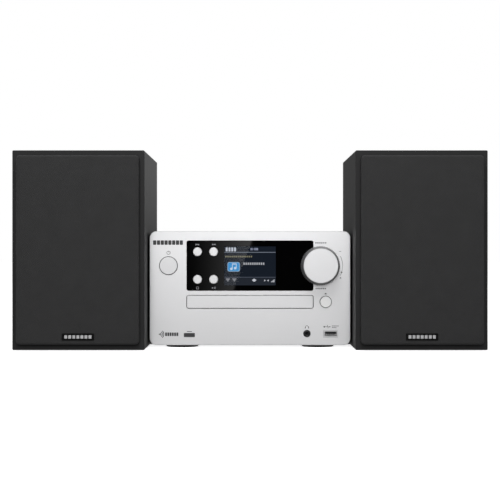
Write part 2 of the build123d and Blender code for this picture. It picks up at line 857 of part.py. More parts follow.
spindle_top = rail_z + spindle_rise
spindle_bore = (spindle_top - spindle_length - shaft_end_gap, spindle_top)
with BuildPart() as spindle_motor:
    post(0, disc_y, motor_radius, (loader_floor[1] + motor_seat, spindle_top))
    post(0, disc_y, spindle_radius + shaft_clearance, spindle_bore, Mode.SUBTRACT)
save(spindle_motor, "spindle_motor")

turntable_top = well_floor + turntable_lift
turntable_low = turntable_top - turntable_thickness
neck_low = spindle_top + spindle_gap
with BuildPart() as turntable:
    post(0, disc_y, spindle_radius, (spindle_top - spindle_length, neck_low))
    post(0, disc_y, turntable_neck_radius, (neck_low, turntable_low))
    post(0, disc_y, turntable_radius, (turntable_low, turntable_top))
    post(0, disc_y, disc_boss_radius, (turntable_top, turntable_top + disc_boss_height))
    chamfer(turntable.faces().sort_by(Axis.Z)[-1].outer_wire().edges(), disc_boss_chamfer)
save(turntable, "turntable")

# Laser sled on two steel rails
with BuildPart() as sled_rails:
    for side in (-1, 1):
        rod(side * rail_spacing / 2, rail_z, rail_radius, (rail_y[0] - rail_end, rail_y[1] + rail_end))
save(sled_rails, "sled_rails")

lens_y = disc_y + lens_start
with BuildPart() as laser_sled:
    sled_span = (rail_z - sled_half_height, rail_z + sled_half_height)
    block(span(0, sled_width), span(lens_y, sled_length), sled_span)
    post(0, disc_y, motor_radius + motor_gap, sled_span, Mode.SUBTRACT)
    post(0, lens_y, lens_housing_radius, (sled_span[1], tray_bottom))
    post(0, lens_y, lens_radius, (tray_bottom, tray_bottom + lens_height))
    for side in (-1, 1):
        rod(side * rail_spacing / 2, rail_z, rail_radius + shaft_clearance,
            span(lens_y, sled_length), Mode.SUBTRACT)
save(laser_sled, "laser_sled")

# Boards: the main board lies on the chassis and the power board stands at the left
main_board_z = chassis_top + board_standoff
part_low = main_board_z + board_thickness
board_y_span = (panel_y + main_board_front, rear_inside - main_board_rear_gap)

# Parts on the main board: X, distance behind the panel, width, length and height
board_parts = [
    (22.0, 72.0, 24.0, 24.0, 2.0),
    (-23.0, 117.0, 14.0, 14.0, 1.6),
    (80.0, 100.0, 16.0, 60.0, 30.0),
]
capacitor_radius = 6.0
capacitor_height = 22.0
capacitor_start = -40.0
capacitor_pitch = 16.0
capacitor_rear_gap = 30.0
with BuildPart() as main_board:
    board_z = (main_board_z, part_low)
    block((main_board_left, main_board_right), board_y_span, board_z)
    for x in (main_board_left + standoff_inset, main_board_right - standoff_inset):
        for y in (board_y_span[0] + standoff_inset, board_y_span[1] - standoff_inset):
            post(x, y, standoff_radius, (chassis_top, main_board_z))
    for x, y in leg_spots:
        post(x, y, leg_radius + loader_clearance, board_z, Mode.SUBTRACT)
    for x, setback, width, length, height in board_parts:
        block(span(x, width), span(panel_y + setback, length), (part_low, part_low + height))
    for index in range(4):
        capacitor_x = capacitor_start + index * capacitor_pitch
        capacitor_z = (part_low, part_low + capacitor_height)
        post(capacitor_x, rear_inside - capacitor_rear_gap, capacitor_radius, capacitor_z)
save(main_board, "main_board")

# Parts on the power board: a transformer, a coil and three capacitors
transformer_depth = 12.0
coil_depth = 14.0
power_capacitor_depth = 13.0
power_capacitor_pitch = 18.0
power_capacitor_setback = 120.0
with BuildPart() as power_board:
    power_y = (panel_y + power_board_front, rear_inside - power_board_rear_gap)
    coil_side = power_board_x + board_thickness
    block((power_board_x, coil_side), power_y, (chassis_top, power_board_top))
    transformer_x = (power_board_x - transformer_depth, power_board_x)
    block(transformer_x, (panel_y + 60, panel_y + 104), (24, 66))
    block((coil_side, coil_side + coil_depth), (rear_inside - 66, rear_inside - 36), (60, 84))
    capacitor_x = (power_board_x - power_capacitor_depth, power_board_x)
    for index in range(3):
        capacitor_z = 30 + index * power_capacitor_pitch
        crossbar(panel_y + power_capacitor_setback, capacitor_z, capacitor_radius, capacitor_x)
save(power_board, "power_board")


def make_speaker(side, sign):
    """All the pieces of one speaker, named for its side; sign is -1 at the left."""
    middle = sign * speaker_x
    floor_z = speaker_foot_height
    half = speaker_width / 2
    woofer_z = floor_z + woofer_height
    tweeter_z = floor_z + tweeter_height
    cup_z = floor_z + cup_centre_height
    grille_low = floor_z + grille_bottom_inset
    grille_high = speaker_top - grille_top_inset
    grille_half = half - grille_side_inset
    grille_z = (grille_low + grille_high) / 2
    frame_front = cabinet_front - grille_depth + cloth_thickness
    frame_back = cabinet_front - grille_seat_gap
    frame_width = 2 * (grille_half - cloth_thickness)
    frame_height = grille_high - grille_low - 2 * cloth_thickness
    peg_x = grille_half - peg_inset
    peg_spots = [
        (middle + x, z)
        for x in (-peg_x, peg_x)
        for z in (grille_low + peg_inset, grille_high - peg_inset)
    ]
    cup_spans = (span(middle, cup_width), span(cup_z, cup_height))

    # Cabinet: a closed box with holes for the drivers, the grille's pegs and the terminal cup
    with BuildPart() as cabinet:
        block((middle - half, middle + half), (cabinet_front, cabinet_rear), (floor_z, speaker_top))
        fillet(cabinet.edges().filter_by(Axis.Y), cabinet_edge)
        fillet(cabinet.faces().sort_by(Axis.Y)[0].outer_wire().edges(), cabinet_edge / 3)
        block(
            (middle - half + cabinet_wall, middle + half - cabinet_wall),
            (cabinet_front + baffle_thickness, cabinet_rear - cabinet_wall),
            (floor_z + cabinet_wall, speaker_top - cabinet_wall),
            Mode.SUBTRACT,
        )
        inside = (cabinet_front, cabinet_front + baffle_thickness)
        recess = (cabinet_front, cabinet_front + woofer_flange)
        rod(middle, woofer_z, woofer_radius + driver_clearance, recess, Mode.SUBTRACT)
        rod(middle, woofer_z, woofer_hole_radius, inside, Mode.SUBTRACT)
        tweeter_recess = (cabinet_front, cabinet_front + tweeter_flange)
        rod(middle, tweeter_z, tweeter_radius + driver_clearance, tweeter_recess, Mode.SUBTRACT)
        rod(middle, tweeter_z, tweeter_body_radius + cup_wall, inside, Mode.SUBTRACT)
        for x, z in peg_spots:
            socket = (cabinet_front, cabinet_front + peg_length)
            rod(x, z, peg_radius + peg_clearance, socket, Mode.SUBTRACT)
        back_span = (cabinet_rear - cabinet_wall, cabinet_rear)
        block(cup_spans[0], back_span, cup_spans[1], Mode.SUBTRACT)
    save(cabinet, f"{side}_cabinet")

    with BuildPart() as feet:
        for x in (-half + speaker_foot_inset, half - speaker_foot_inset):
            for y in (cabinet_front + speaker_foot_inset, cabinet_rear - speaker_foot_inset):
                post(middle + x, y, speaker_foot_radius, (0, floor_z))
    save(feet, f"{side}_speaker_feet")

    # Grille: a frame with a cross rail and four pegs, and cloth over its front and sides
    with BuildPart() as grille_frame:
        with BuildSketch(facing(frame_front)):
            with Locations((middle, grille_z)):
                RectangleRounded(frame_width, frame_height, grille_corner)
                RectangleRounded(
                    frame_width - 2 * grille_bar,
                    frame_height - 2 * grille_bar,
                    grille_corner,
                    mode=Mode.SUBTRACT,
                )
            with Locations((middle, (woofer_z + tweeter_z + woofer_radius - tweeter_radius) / 2)):
                Rectangle(frame_width - 2 * grille_bar, grille_bar)
        extrude(amount=frame_front - frame_back)
        for x, z in peg_spots:
            rod(x, z, peg_radius, (frame_back, frame_back + peg_length))
    save(grille_frame, f"{side}_grille_frame")

    with BuildPart() as grille_cloth:
        with BuildSketch(facing(frame_front - cloth_thickness)):
            with Locations((middle, grille_z)):
                RectangleRounded(2 * grille_half, grille_high - grille_low, grille_corner + cloth_thickness)
        extrude(amount=frame_front - cloth_thickness - frame_back)
        with BuildSketch(facing(frame_front)):
            with Locations((middle, grille_z)):
                RectangleRounded(frame_width, frame_height, grille_corner)
        extrude(amount=frame_front - frame_back, mode=Mode.SUBTRACT)
    save(grille_cloth, f"{side}_grille_cloth")

    # Woofer: basket and magnet in one, and the cone that moves in it
    upright = Plane(origin=(middle, cabinet_front, woofer_z), x_dir=(1, 0, 0), z_dir=(0, 0, 1))
    axis = Axis((middle, cabinet_front, woofer_z), (0, 1, 0))
    gap = driver_gap
    former_end = cone_depth + 20.0
    former_outer = coil_radius + cone_thickness
    magnet_front = cone_depth + 14.0
    basket_shoulder = woofer_flange + basket_rise
    rim = cone_radius + surround_width + gap
    with BuildPart() as woofer_frame:
        with BuildSketch(upright):
            with BuildLine():
                Polyline(
                    (rim - 2.0, 0),
                    (woofer_radius, 0),
                    (woofer_radius, woofer_flange),
                    (woofer_hole_radius - gap, woofer_flange),
                    (woofer_hole_radius - gap, basket_shoulder + 2.0),
                    (magnet_radius, magnet_front),
                    (magnet_radius, woofer_depth),
                    (0, woofer_depth),
                    (0, cone_depth + 4.5),
                    (coil_radius - 1.0, cone_depth + 4.5),
                    (coil_radius - 1.0, former_end + 5.0),
                    (former_outer + gap, former_end + 5.0),
                    (former_outer + gap, magnet_front - 1.0),
                    (magnet_radius - magnet_step, magnet_front - 1.0),
                    (rim, basket_shoulder),
                    (rim, 1.2),
                    (rim - 2.0, 1.2),
                    close=True,
                )
            make_face()
        revolve(axis=axis)
    save(woofer_frame, f"{side}_woofer_frame")

    surround_depth = cone_travel + 2.0
    with BuildPart() as woofer_cone:
        with BuildSketch(upright):
            with BuildLine():
                roll_start = (rim - gap, surround_depth + 1.0)
                roll_end = (cone_radius, surround_depth + 1.0)
                roll_crest = ((rim - gap + cone_radius) / 2, surround_depth - 1.0)
                ThreePointArc(roll_start, roll_crest, roll_end)
                Polyline(
                    roll_end,
                    (former_outer + dust_cap_rise, cone_depth),
                    (0, cone_depth - dust_cap_rise),
                    (0, cone_depth - dust_cap_rise + 1.2),
                    (coil_radius, cone_depth + 1.2),
                    (coil_radius, former_end),
                    (former_outer, former_end),
                    (former_outer, cone_depth + 1.8),
                    (former_outer + dust_cap_rise, cone_depth + 1.2),
                    (cone_radius, surround_depth + 2.2),
                    (rim - gap, surround_depth + 2.2),
                    roll_start,
                )
            make_face()
        revolve(axis=axis)
    save(woofer_cone, f"{side}_woofer_cone")

    # Tweeter: face plate, dome and magnet
    tweeter_axis = Axis((middle, cabinet_front, tweeter_z), (0, 1, 0))
    tweeter_plane = Plane(origin=(middle, cabinet_front, tweeter_z), x_dir=(1, 0, 0), z_dir=(0, 0, 1))
    with BuildPart() as tweeter:
        with BuildSketch(tweeter_plane):
            with BuildLine():
                Polyline(
                    (dome_radius, dome_sink),
                    (dome_radius + dome_sink, dome_sink),
                    (dome_radius + tweeter_horn, dome_sink / 5),
                    (tweeter_radius, 0),
                    (tweeter_radius, tweeter_flange),
                    (tweeter_body_radius, tweeter_flange),
                    (tweeter_body_radius, tweeter_depth),
                    (0, tweeter_depth),
                    (0, 0),
                )
                ThreePointArc((0, 0), (dome_radius * 0.6, 0.8), (dome_radius, dome_sink))
            make_face()
        revolve(axis=tweeter_axis)
    save(tweeter, f"{side}_tweeter")

    # Terminal cup with three ears that hold the levers' pins
    floor_y = cabinet_rear - cup_depth + cup_wall
    pin_y = cabinet_rear - lever_pin_setback
    with BuildPart() as terminal_cup:
        border = 2 * cup_flange_border
        block(
            span(middle, cup_width + border),
            (cabinet_rear, cabinet_rear + cup_flange),
            span(cup_z, cup_height + border),
        )
        fillet(terminal_cup.edges().filter_by(Axis.Y), 3.0)
        block(cup_spans[0], (cabinet_rear - cup_depth, cabinet_rear), cup_spans[1])
        block(
            span(middle, cup_width - 2 * cup_wall),
            (floor_y, cabinet_rear + cup_flange),
            span(cup_z, cup_height - 2 * cup_wall),
            Mode.SUBTRACT,
        )
        ear_gap = lever_spacing - lever_width - 2 * pin_clearance
        ear_spots = ((0, ear_gap), (lever_spacing, ear_width), (-lever_spacing, ear_width))
        for offset_x, width in ear_spots:
            block(span(middle + offset_x, width), (floor_y, pin_y + ear_rise), span(cup_z, ear_height))
        reach = lever_spacing / 2 + lever_width / 2 + lever_pin_reach + pin_clearance
        pin_span = (middle - reach, middle + reach)
        crossbar(pin_y, cup_z, lever_pin_radius + pin_clearance, pin_span, Mode.SUBTRACT)
    save(terminal_cup, f"{side}_terminal_cup")

    # Spring levers, red and black, each with its pin
    for colour, place in (("red", -1), ("black", 1)):
        lever_x = middle + place * lever_spacing / 2
        with BuildPart() as lever:
            lever_y = (pin_y + lever_lift, pin_y + lever_lift + lever_thickness)
            block(span(lever_x, lever_width), lever_y, span(cup_z, lever_height))
            block(span(lever_x, lever_width), (pin_y - 2 * lever_lift, lever_y[0]), span(cup_z, lever_web))
            crossbar(pin_y, cup_z, lever_pin_radius, span(lever_x, lever_width + 2 * lever_pin_reach))
            fillet(lever.faces().sort_by(Axis.Y)[-1].edges(), lever_edge)
        save(lever, f"{side}_{colour}_lever")


make_speaker("left", -1)
make_speaker("right", 1)
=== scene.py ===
# Looks for the mini hifi system: two cloth-fronted speakers and a silver main unit.
# Lengths are in metres, in the model's own frame: X right, Y to the rear, Z up.
import math
import bmesh
import bpy
import numpy as np
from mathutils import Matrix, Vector


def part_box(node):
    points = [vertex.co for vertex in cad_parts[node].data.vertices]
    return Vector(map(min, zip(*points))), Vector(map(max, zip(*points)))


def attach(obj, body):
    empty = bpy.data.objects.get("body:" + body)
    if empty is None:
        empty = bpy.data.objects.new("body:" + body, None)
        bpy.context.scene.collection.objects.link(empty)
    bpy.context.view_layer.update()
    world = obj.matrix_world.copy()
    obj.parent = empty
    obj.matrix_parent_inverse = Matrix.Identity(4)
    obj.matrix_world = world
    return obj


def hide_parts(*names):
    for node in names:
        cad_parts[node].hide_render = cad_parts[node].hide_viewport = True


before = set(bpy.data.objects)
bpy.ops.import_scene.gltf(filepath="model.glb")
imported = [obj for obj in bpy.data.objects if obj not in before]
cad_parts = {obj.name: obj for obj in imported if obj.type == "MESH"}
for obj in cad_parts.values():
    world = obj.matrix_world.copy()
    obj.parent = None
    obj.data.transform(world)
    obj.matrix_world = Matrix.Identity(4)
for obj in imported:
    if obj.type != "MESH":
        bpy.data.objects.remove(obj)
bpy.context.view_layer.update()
mm = 0.001
sides = {"left": -1, "right": 1}


def nodeBox(name):
    # lowest and highest corner of a node, as two arrays
    low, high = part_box(name)
    return np.array(low, dtype=float), np.array(high, dtype=float)


def nodeMiddle(name):
    # middle of a node's box: half of lowest plus highest
    low, high = nodeBox(name)
    return (low + high) / 2


# camera: the width of the frame at the cabinets' fronts sets the lens
cameraSetup = {"distance": 1.290, "height": 0.1003, "sensor": 36.0, "frameWidth": 0.4984}
cabinetFront = nodeBox("left_cabinet")[0][1]
panelFace = nodeBox("front_panel")[0][1]

camData = bpy.data.cameras.new("viewCamera")
camData.sensor_width = cameraSetup["sensor"]
camData.lens = cameraSetup["sensor"] * cameraSetup["distance"] / cameraSetup["frameWidth"]
camData.clip_end = 20
viewCamera = bpy.data.objects.new("viewCamera", camData)
viewCamera.location = (0, cabinetFront - cameraSetup["distance"], cameraSetup["height"])
viewCamera.rotation_euler = (math.radians(90), 0, 0)
bpy.context.scene.collection.objects.link(viewCamera)
bpy.context.scene.camera = viewCamera
print("camera ready")


def newPiece(name, points, faces, material, smooth=True, uv=None):
    # an object at the origin whose place is in its mesh; points is n by 3, faces a list or an array
    mesh = bpy.data.meshes.new(name)
    mesh.from_pydata(np.asarray(points, dtype=float).tolist(), [], [list(map(int, f)) for f in faces])
    mesh.materials.append(material)
    mesh.polygons.foreach_set("use_smooth", [smooth] * len(mesh.polygons))
    if uv is not None:
        layer = mesh.uv_layers.new(name="flat")
        loopVertex = np.empty(len(mesh.loops), dtype=np.int32)
        mesh.loops.foreach_get("vertex_index", loopVertex)
        layer.data.foreach_set("uv", np.asarray(uv, dtype=float)[loopVertex].ravel())
    mesh.update()
    piece = bpy.data.objects.new(name, mesh)
    bpy.context.scene.collection.objects.link(piece)
    return piece


def gridFaces(rows, columns, closeColumns=False):
    # quads of a rows by columns grid, whose vertex (i, j) has number i * columns + j
    i = np.arange(rows - 1)
    j = np.arange(columns if closeColumns else columns - 1)
    i, j = (a.ravel() for a in np.meshgrid(i, j, indexing="ij"))
    here, above, nextJ = i * columns, (i + 1) * columns, (j + 1) % columns
    return np.stack([here + j, here + nextJ, above + nextJ, above + j], axis=1)


def outwards(piece):
    # merge doubles and make the faces of a closed shape point out
    work = bmesh.new()
    work.from_mesh(piece.data)
    bmesh.ops.remove_doubles(work, verts=work.verts, dist=1e-6)
    bmesh.ops.recalc_face_normals(work, faces=work.faces)
    work.to_mesh(piece.data)
    work.free()
    return piece


def lathe(name, profile, centre, material, segments):
    # surface of revolution about Y: point(t, a) = centre + (r(t) cos a, depth(t), r(t) sin a)
    r, depth = np.asarray(profile, dtype=float).T
    a = np.linspace(0, 2 * math.pi, segments, endpoint=False)
    along = depth[:, None] * np.ones_like(a)
    points = np.stack([r[:, None] * np.cos(a), along, r[:, None] * np.sin(a)], axis=-1).reshape(-1, 3)
    faces = gridFaces(len(r), segments, closeColumns=True)
    return outwards(newPiece(name, points + np.asarray(centre), faces, material))


def outlineShape(kind, **size):
    # closed outlines in a plane, as an n by 2 array
    if kind == "roundedRect":
        w, h, r, steps = size["w"] / 2, size["h"] / 2, size["r"], size.get("steps", 8)
        quarter = np.linspace(0, math.pi / 2, steps + 1)
        corners = [(w - r, h - r, 0), (r - w, h - r, 1), (r - w, r - h, 2), (w - r, r - h, 3)]
        turned = [(x, y, quarter + k * math.pi / 2) for x, y, k in corners]
        return np.concatenate([np.stack([x + r * np.cos(a), y + r * np.sin(a)], axis=1) for x, y, a in turned])
    if kind == "circle":
        a = np.linspace(0, 2 * math.pi, size.get("steps", 48), endpoint=False)
        return np.stack([size["r"] * np.cos(a), size["r"] * np.sin(a)], axis=1)
    raise ValueError(kind)


def arcBand(radius, width, start, end, steps=40):
    # outline of a band: out along radius + width / 2 from start to end, and back along radius - width / 2
    a = np.radians(np.linspace(start, end, steps))
    outer = np.stack([np.cos(a), np.sin(a)], axis=1) * (radius + width / 2)
    inner = np.stack([np.cos(a[::-1]), np.sin(a[::-1])], axis=1) * (radius - width / 2)
    return np.concatenate([outer, inner])


def slab(name, outlines, centre, depth, material, bevel=0.0):
    # plates cut to flat outlines in X and Z: the front face is depth before centre along Y, drawn in by bevel
    points, faces, start = [], [], 0
    for outline in outlines:
        outline = np.asarray(outline, dtype=float)
        n = len(outline)
        rings = [(0.0, 0.0), (depth - bevel, 0.0)] + ([(depth, bevel)] if bevel else [])
        middle = outline.mean(axis=0)
        for level, inset in rings:
            reach = outline - middle
            length = np.maximum(np.linalg.norm(reach, axis=1, keepdims=True), 1e-9)
            ring = middle + reach * (1 - inset / length)
            points.append(np.stack([ring[:, 0], np.full(n, -level), ring[:, 1]], axis=1))
        count = len(rings)
        faces += (gridFaces(count, n, closeColumns=True) + start).tolist()
        faces.append(list(range(start + n - 1, start - 1, -1)))
        faces.append(list(range(start + (count - 1) * n, start + count * n)))
        start += count * n
    return outwards(newPiece(name, np.concatenate(points) + np.asarray(centre), faces, material, False))


def addNode(mat, kind, settings=None, **values):
    # a shader node with its settings and unlinked input values
    node = mat.node_tree.nodes.new(kind)
    for key, value in (settings or {}).items():
        setattr(node, key, value)
    for key, value in values.items():
        node.inputs[key.replace("_", " ")].default_value = value
    return node


def wire(mat, source, target):
    # a link from a node's output to another's input
    mat.node_tree.links.new(source, target)


def shaderInput(mat, key):
    # one socket of the finish's own shader
    return mat.node_tree.nodes["Principled BSDF"].inputs[key]


def scaled(color, factor, lift=0.0, most=1.0):
    # each channel times factor plus lift, and no more than most
    return tuple(min(most, c * factor + lift) for c in color)


def baseFinish(name, color, roughness, metallic=0.0, **sockets):
    # a principled finish with constant values set on the shader's own sockets
    mat = bpy.data.materials.new(name)
    mat.use_nodes = True
    shaderInput(mat, "Base Color").default_value = (*color, 1)
    shaderInput(mat, "Roughness").default_value = roughness
    shaderInput(mat, "Metallic").default_value = metallic
    for key, value in sockets.items():
        shaderInput(mat, key.replace("_", " ")).default_value = value
    return mat


def patternSpace(mat, stretch, centre=(0, 0, 0), useUv=False):
    # pattern coordinates: (object place - centre) times stretch, per axis
    coords = addNode(mat, "ShaderNodeTexCoord")
    mapping = addNode(mat, "ShaderNodeMapping")
    mapping.inputs["Scale"].default_value = stretch
    mapping.inputs["Location"].default_value = [-c * s for c, s in zip(centre, stretch)]
    wire(mat, coords.outputs["UV" if useUv else "Object"], mapping.inputs["Vector"])
    return mapping.outputs["Vector"]


def spanOf(mat, value, low, high):
    # a 0 to 1 pattern brought to the range low to high
    node = addNode(mat, "ShaderNodeMapRange")
    node.inputs["To Min"].default_value = low
    node.inputs["To Max"].default_value = high
    wire(mat, value, node.inputs["Value"])
    return node.outputs["Result"]


def tint(mat, value, dark, light):
    # colour between dark and light by a 0 to 1 pattern
    node = addNode(mat, "ShaderNodeMix", {"data_type": "RGBA"})
    node.inputs[6].default_value = (*dark, 1)
    node.inputs[7].default_value = (*light, 1)
    wire(mat, value, node.inputs["Factor"])
    return node.outputs[2]


def chosen(mat, mask, first, second):
    # the first colour where mask is 0 and the second where it is 1
    node = addNode(mat, "ShaderNodeMix", {"data_type": "RGBA"})
    for source, key in ((mask, "Factor"), (first, 6), (second, 7)):
        wire(mat, source, node.inputs[key])
    return node.outputs[2]


def noiseOf(mat, space, scale, detail=3.0, rough=0.55):
    # 0 to 1 noise of the pattern coordinates times scale
    node = addNode(mat, "ShaderNodeTexNoise", Scale=scale, Detail=detail, Roughness=rough)
    wire(mat, space, node.inputs["Vector"])
    return node.outputs["Fac"]


def maths(mat, how, first, second=0.0):
    # a maths node on two numbers or outputs
    node = addNode(mat, "ShaderNodeMath", {"operation": how})
    for i, item in enumerate((first, second)):
        if isinstance(item, (int, float)):
            node.inputs[i].default_value = item
        else:
            wire(mat, item, node.inputs[i])
    return node.outputs[0]


def blendOf(mat, first, second, share):
    # first plus share times second
    return maths(mat, "ADD", first, maths(mat, "MULTIPLY", second, share))


def useBump(mat, height, distance):
    # the surface's normals follow a 0 to 1 height times distance
    node = addNode(mat, "ShaderNodeBump", Distance=distance, Strength=1.0)
    wire(mat, height, node.inputs["Height"])
    wire(mat, node.outputs["Normal"], shaderInput(mat, "Normal"))


def brushedMetal(name, color, rough, stretch, depth=0.00002, shade=0.05, metallic=1.0, **sockets):
    # metal with grain drawn out along one axis: long noise moves colour, roughness and height together
    mat = baseFinish(name, color, sum(rough) / 2, metallic, **sockets)
    space = patternSpace(mat, stretch)
    lines = noiseOf(mat, space, 1.0, 4.0, 0.6)
    clouds = noiseOf(mat, patternSpace(mat, (18, 18, 18)), 1.0, 2.0)
    joined = blendOf(mat, spanOf(mat, lines, 0.0, 0.7), clouds, 0.3)
    dark, light = scaled(color, 1 - shade), scaled(color, 1 + shade)
    wire(mat, tint(mat, joined, dark, light), shaderInput(mat, "Base Color"))
    wire(mat, spanOf(mat, joined, *rough), shaderInput(mat, "Roughness"))
    useBump(mat, lines, depth)
    return mat


def turnedMetal(name, color, rough, centre, pitch=0.00035, depth=0.000012, metallic=1.0, **sockets):
    # metal faced on a lathe: rings of noise by distance from the axis along Y
    mat = baseFinish(name, color, sum(rough) / 2, metallic, **sockets)
    rings = addNode(mat, "ShaderNodeTexNoise", {"noise_dimensions": "1D"}, Scale=1 / pitch, Detail=2.0)
    wire(mat, offAxis(mat, patternSpace(mat, (1, 0, 1), centre)), rings.inputs["W"])
    wire(mat, spanOf(mat, rings.outputs["Fac"], *rough), shaderInput(mat, "Roughness"))
    dark, light = scaled(color, 0.94), scaled(color, 1.05)
    wire(mat, tint(mat, rings.outputs["Fac"], dark, light), shaderInput(mat, "Base Color"))
    useBump(mat, rings.outputs["Fac"], depth)
    return mat


def mouldedPlastic(name, color, rough, grain=2500.0, depth=0.00004, **sockets):
    # moulded plastic: fine spark-eroded noise in height, slow clouds in roughness, a hint of dust in colour
    mat = baseFinish(name, color, sum(rough) / 2, 0.0, **sockets)
    space = patternSpace(mat, (1, 1, 1))
    fine = noiseOf(mat, space, grain, 2.0, 0.7)
    clouds = noiseOf(mat, space, 22.0, 3.0)
    wire(mat, spanOf(mat, clouds, *rough), shaderInput(mat, "Roughness"))
    wire(mat, tint(mat, clouds, color, scaled(color, 1.25, 0.004)), shaderInput(mat, "Base Color"))
    useBump(mat, fine, depth)
    return mat


def texturedPaint(name, color, rough, pebble=900.0, depth=0.00009, **sockets):
    # powder coat: rounded pebbles from distance cells, over slow waves
    mat = baseFinish(name, color, sum(rough) / 2, 0.0, **sockets)
    space = patternSpace(mat, (1, 1, 1))
    cells = addNode(mat, "ShaderNodeTexVoronoi", {"feature": "SMOOTH_F1"}, Scale=pebble)
    wire(mat, space, cells.inputs["Vector"])
    clouds = noiseOf(mat, space, 30.0, 3.0)
    height = blendOf(mat, cells.outputs["Distance"], clouds, 0.4)
    wire(mat, spanOf(mat, clouds, *rough), shaderInput(mat, "Roughness"))
    light = scaled(color, 1.3, 0.003)
    wire(mat, tint(mat, cells.outputs["Distance"], color, light), shaderInput(mat, "Base Color"))
    useBump(mat, height, depth)
    return mat


def wrappedBoard(name, color, rough, stretch, depth=0.00006, **sockets):
    # foil-wrapped board: wood-like pores drawn out along one axis, nearly black
    mat = baseFinish(name, color, sum(rough) / 2, 0.0, **sockets)
    pores = noiseOf(mat, patternSpace(mat, stretch), 1.0, 5.0, 0.65)
    clouds = noiseOf(mat, patternSpace(mat, (9, 9, 9)), 1.0, 2.0)
    joined = blendOf(mat, spanOf(mat, pores, 0.0, 0.75), clouds, 0.25)
    wire(mat, tint(mat, joined, scaled(color, 0.8), scaled(color, 1.25)), shaderInput(mat, "Base Color"))
    wire(mat, spanOf(mat, pores, *rough), shaderInput(mat, "Roughness"))
    useBump(mat, pores, depth)
    return mat


def coordinate(mat, space, axis):
    # one coordinate of a vector: 0 is X, 1 is Y, 2 is Z
    split = addNode(mat, "ShaderNodeSeparateXYZ")
    wire(mat, space, split.inputs[0])
    return split.outputs[axis]


def offAxis(mat, space):
    # the length of a pattern coordinate
    far = addNode(mat, "ShaderNodeVectorMath", {"operation": "LENGTH"})
    wire(mat, space, far.inputs[0])
    return far.outputs["Value"]


def sineOf(mat, space, axis, pitch):
    # 0.5 + 0.5 sin(2 pi p / pitch) of one coordinate
    wave = maths(mat, "SINE", maths(mat, "MULTIPLY", coordinate(mat, space, axis), 2 * math.pi / pitch))
    return maths(mat, "ADD", maths(mat, "MULTIPLY", wave, 0.5), 0.5)


def beyondBox(mat, space, low, high):
    # how far the point lies outside a box in X and Z: the larger of |p - middle| - half, below 0 inside
    (x0, z0), (x1, z1) = low, high
    away = []
    for axis, a, b in ((0, x0, x1), (2, z0, z1)):
        offset = maths(mat, "SUBTRACT", coordinate(mat, space, axis), (a + b) / 2)
        away.append(maths(mat, "SUBTRACT", maths(mat, "ABSOLUTE", offset), (b - a) / 2))
    return maths(mat, "MAXIMUM", *away)


def wovenCloth(name, color, pitch, depth, shade):
    # plain weave on the sheet's flat coordinates: warp and weft threads take turns on top
    mat = baseFinish(name, color, 0.9, 0.0, Sheen_Weight=0.06, Sheen_Roughness=0.5, Specular_IOR_Level=0.2)
    shaderInput(mat, "Sheen Tint").default_value = (0.75, 0.75, 0.78, 1)
    space = patternSpace(mat, (1, 1, 1), useUv=True)
    warp = sineOf(mat, space, 0, pitch)
    weft = sineOf(mat, space, 1, pitch)
    turnX = sineOf(mat, space, 0, 2 * pitch)
    turnY = sineOf(mat, space, 1, 2 * pitch)
    over = maths(mat, "MULTIPLY", maths(mat, "SUBTRACT", turnX, 0.5), maths(mat, "SUBTRACT", turnY, 0.5))
    over = maths(mat, "GREATER_THAN", over, 0.0)
    under = maths(mat, "SUBTRACT", 1.0, over)
    threads = maths(mat, "ADD", maths(mat, "MULTIPLY", warp, over), maths(mat, "MULTIPLY", weft, under))
    fuzz = noiseOf(mat, space, 3500.0, 2.0, 0.7)
    slubs = noiseOf(mat, space, 60.0, 3.0, 0.6)
    height = blendOf(mat, threads, fuzz, 0.35)
    dark, light = scaled(color, 1 - shade), scaled(color, 1 + shade)
    tone = maths(mat, "ADD", maths(mat, "MULTIPLY", threads, 0.6), maths(mat, "MULTIPLY", slubs, 0.4))
    wire(mat, tint(mat, tone, dark, light), shaderInput(mat, "Base Color"))
    wire(mat, spanOf(mat, slubs, 0.8, 0.97), shaderInput(mat, "Roughness"))
    useBump(mat, height, depth)
    return mat


def glowing(name, color, strength, base=(0.001, 0.001, 0.001), gridPitch=0.00033):
    # a lit shape with a faint grid of dots: the product of sines along X and Z varies the glow
    mat = baseFinish(name, base, 0.35, 0.0, Specular_IOR_Level=0.0)
    space = patternSpace(mat, (1, 1, 1))
    dots = maths(mat, "MULTIPLY", sineOf(mat, space, 0, gridPitch), sineOf(mat, space, 2, gridPitch))
    low, high = scaled(color, 0.82), scaled(color, 1.15, most=1.15)
    wire(mat, tint(mat, dots, low, high), shaderInput(mat, "Emission Color"))
    shaderInput(mat, "Emission Strength").default_value = strength
    return mat


def mixedShaders(mat, mask, first, second):
    # the first shader where mask is 0 and the second where it is 1
    node = addNode(mat, "ShaderNodeMixShader")
    for i, source in enumerate((mask, first.outputs[0], second.outputs[0])):
        wire(mat, source, node.inputs[i])
    return node


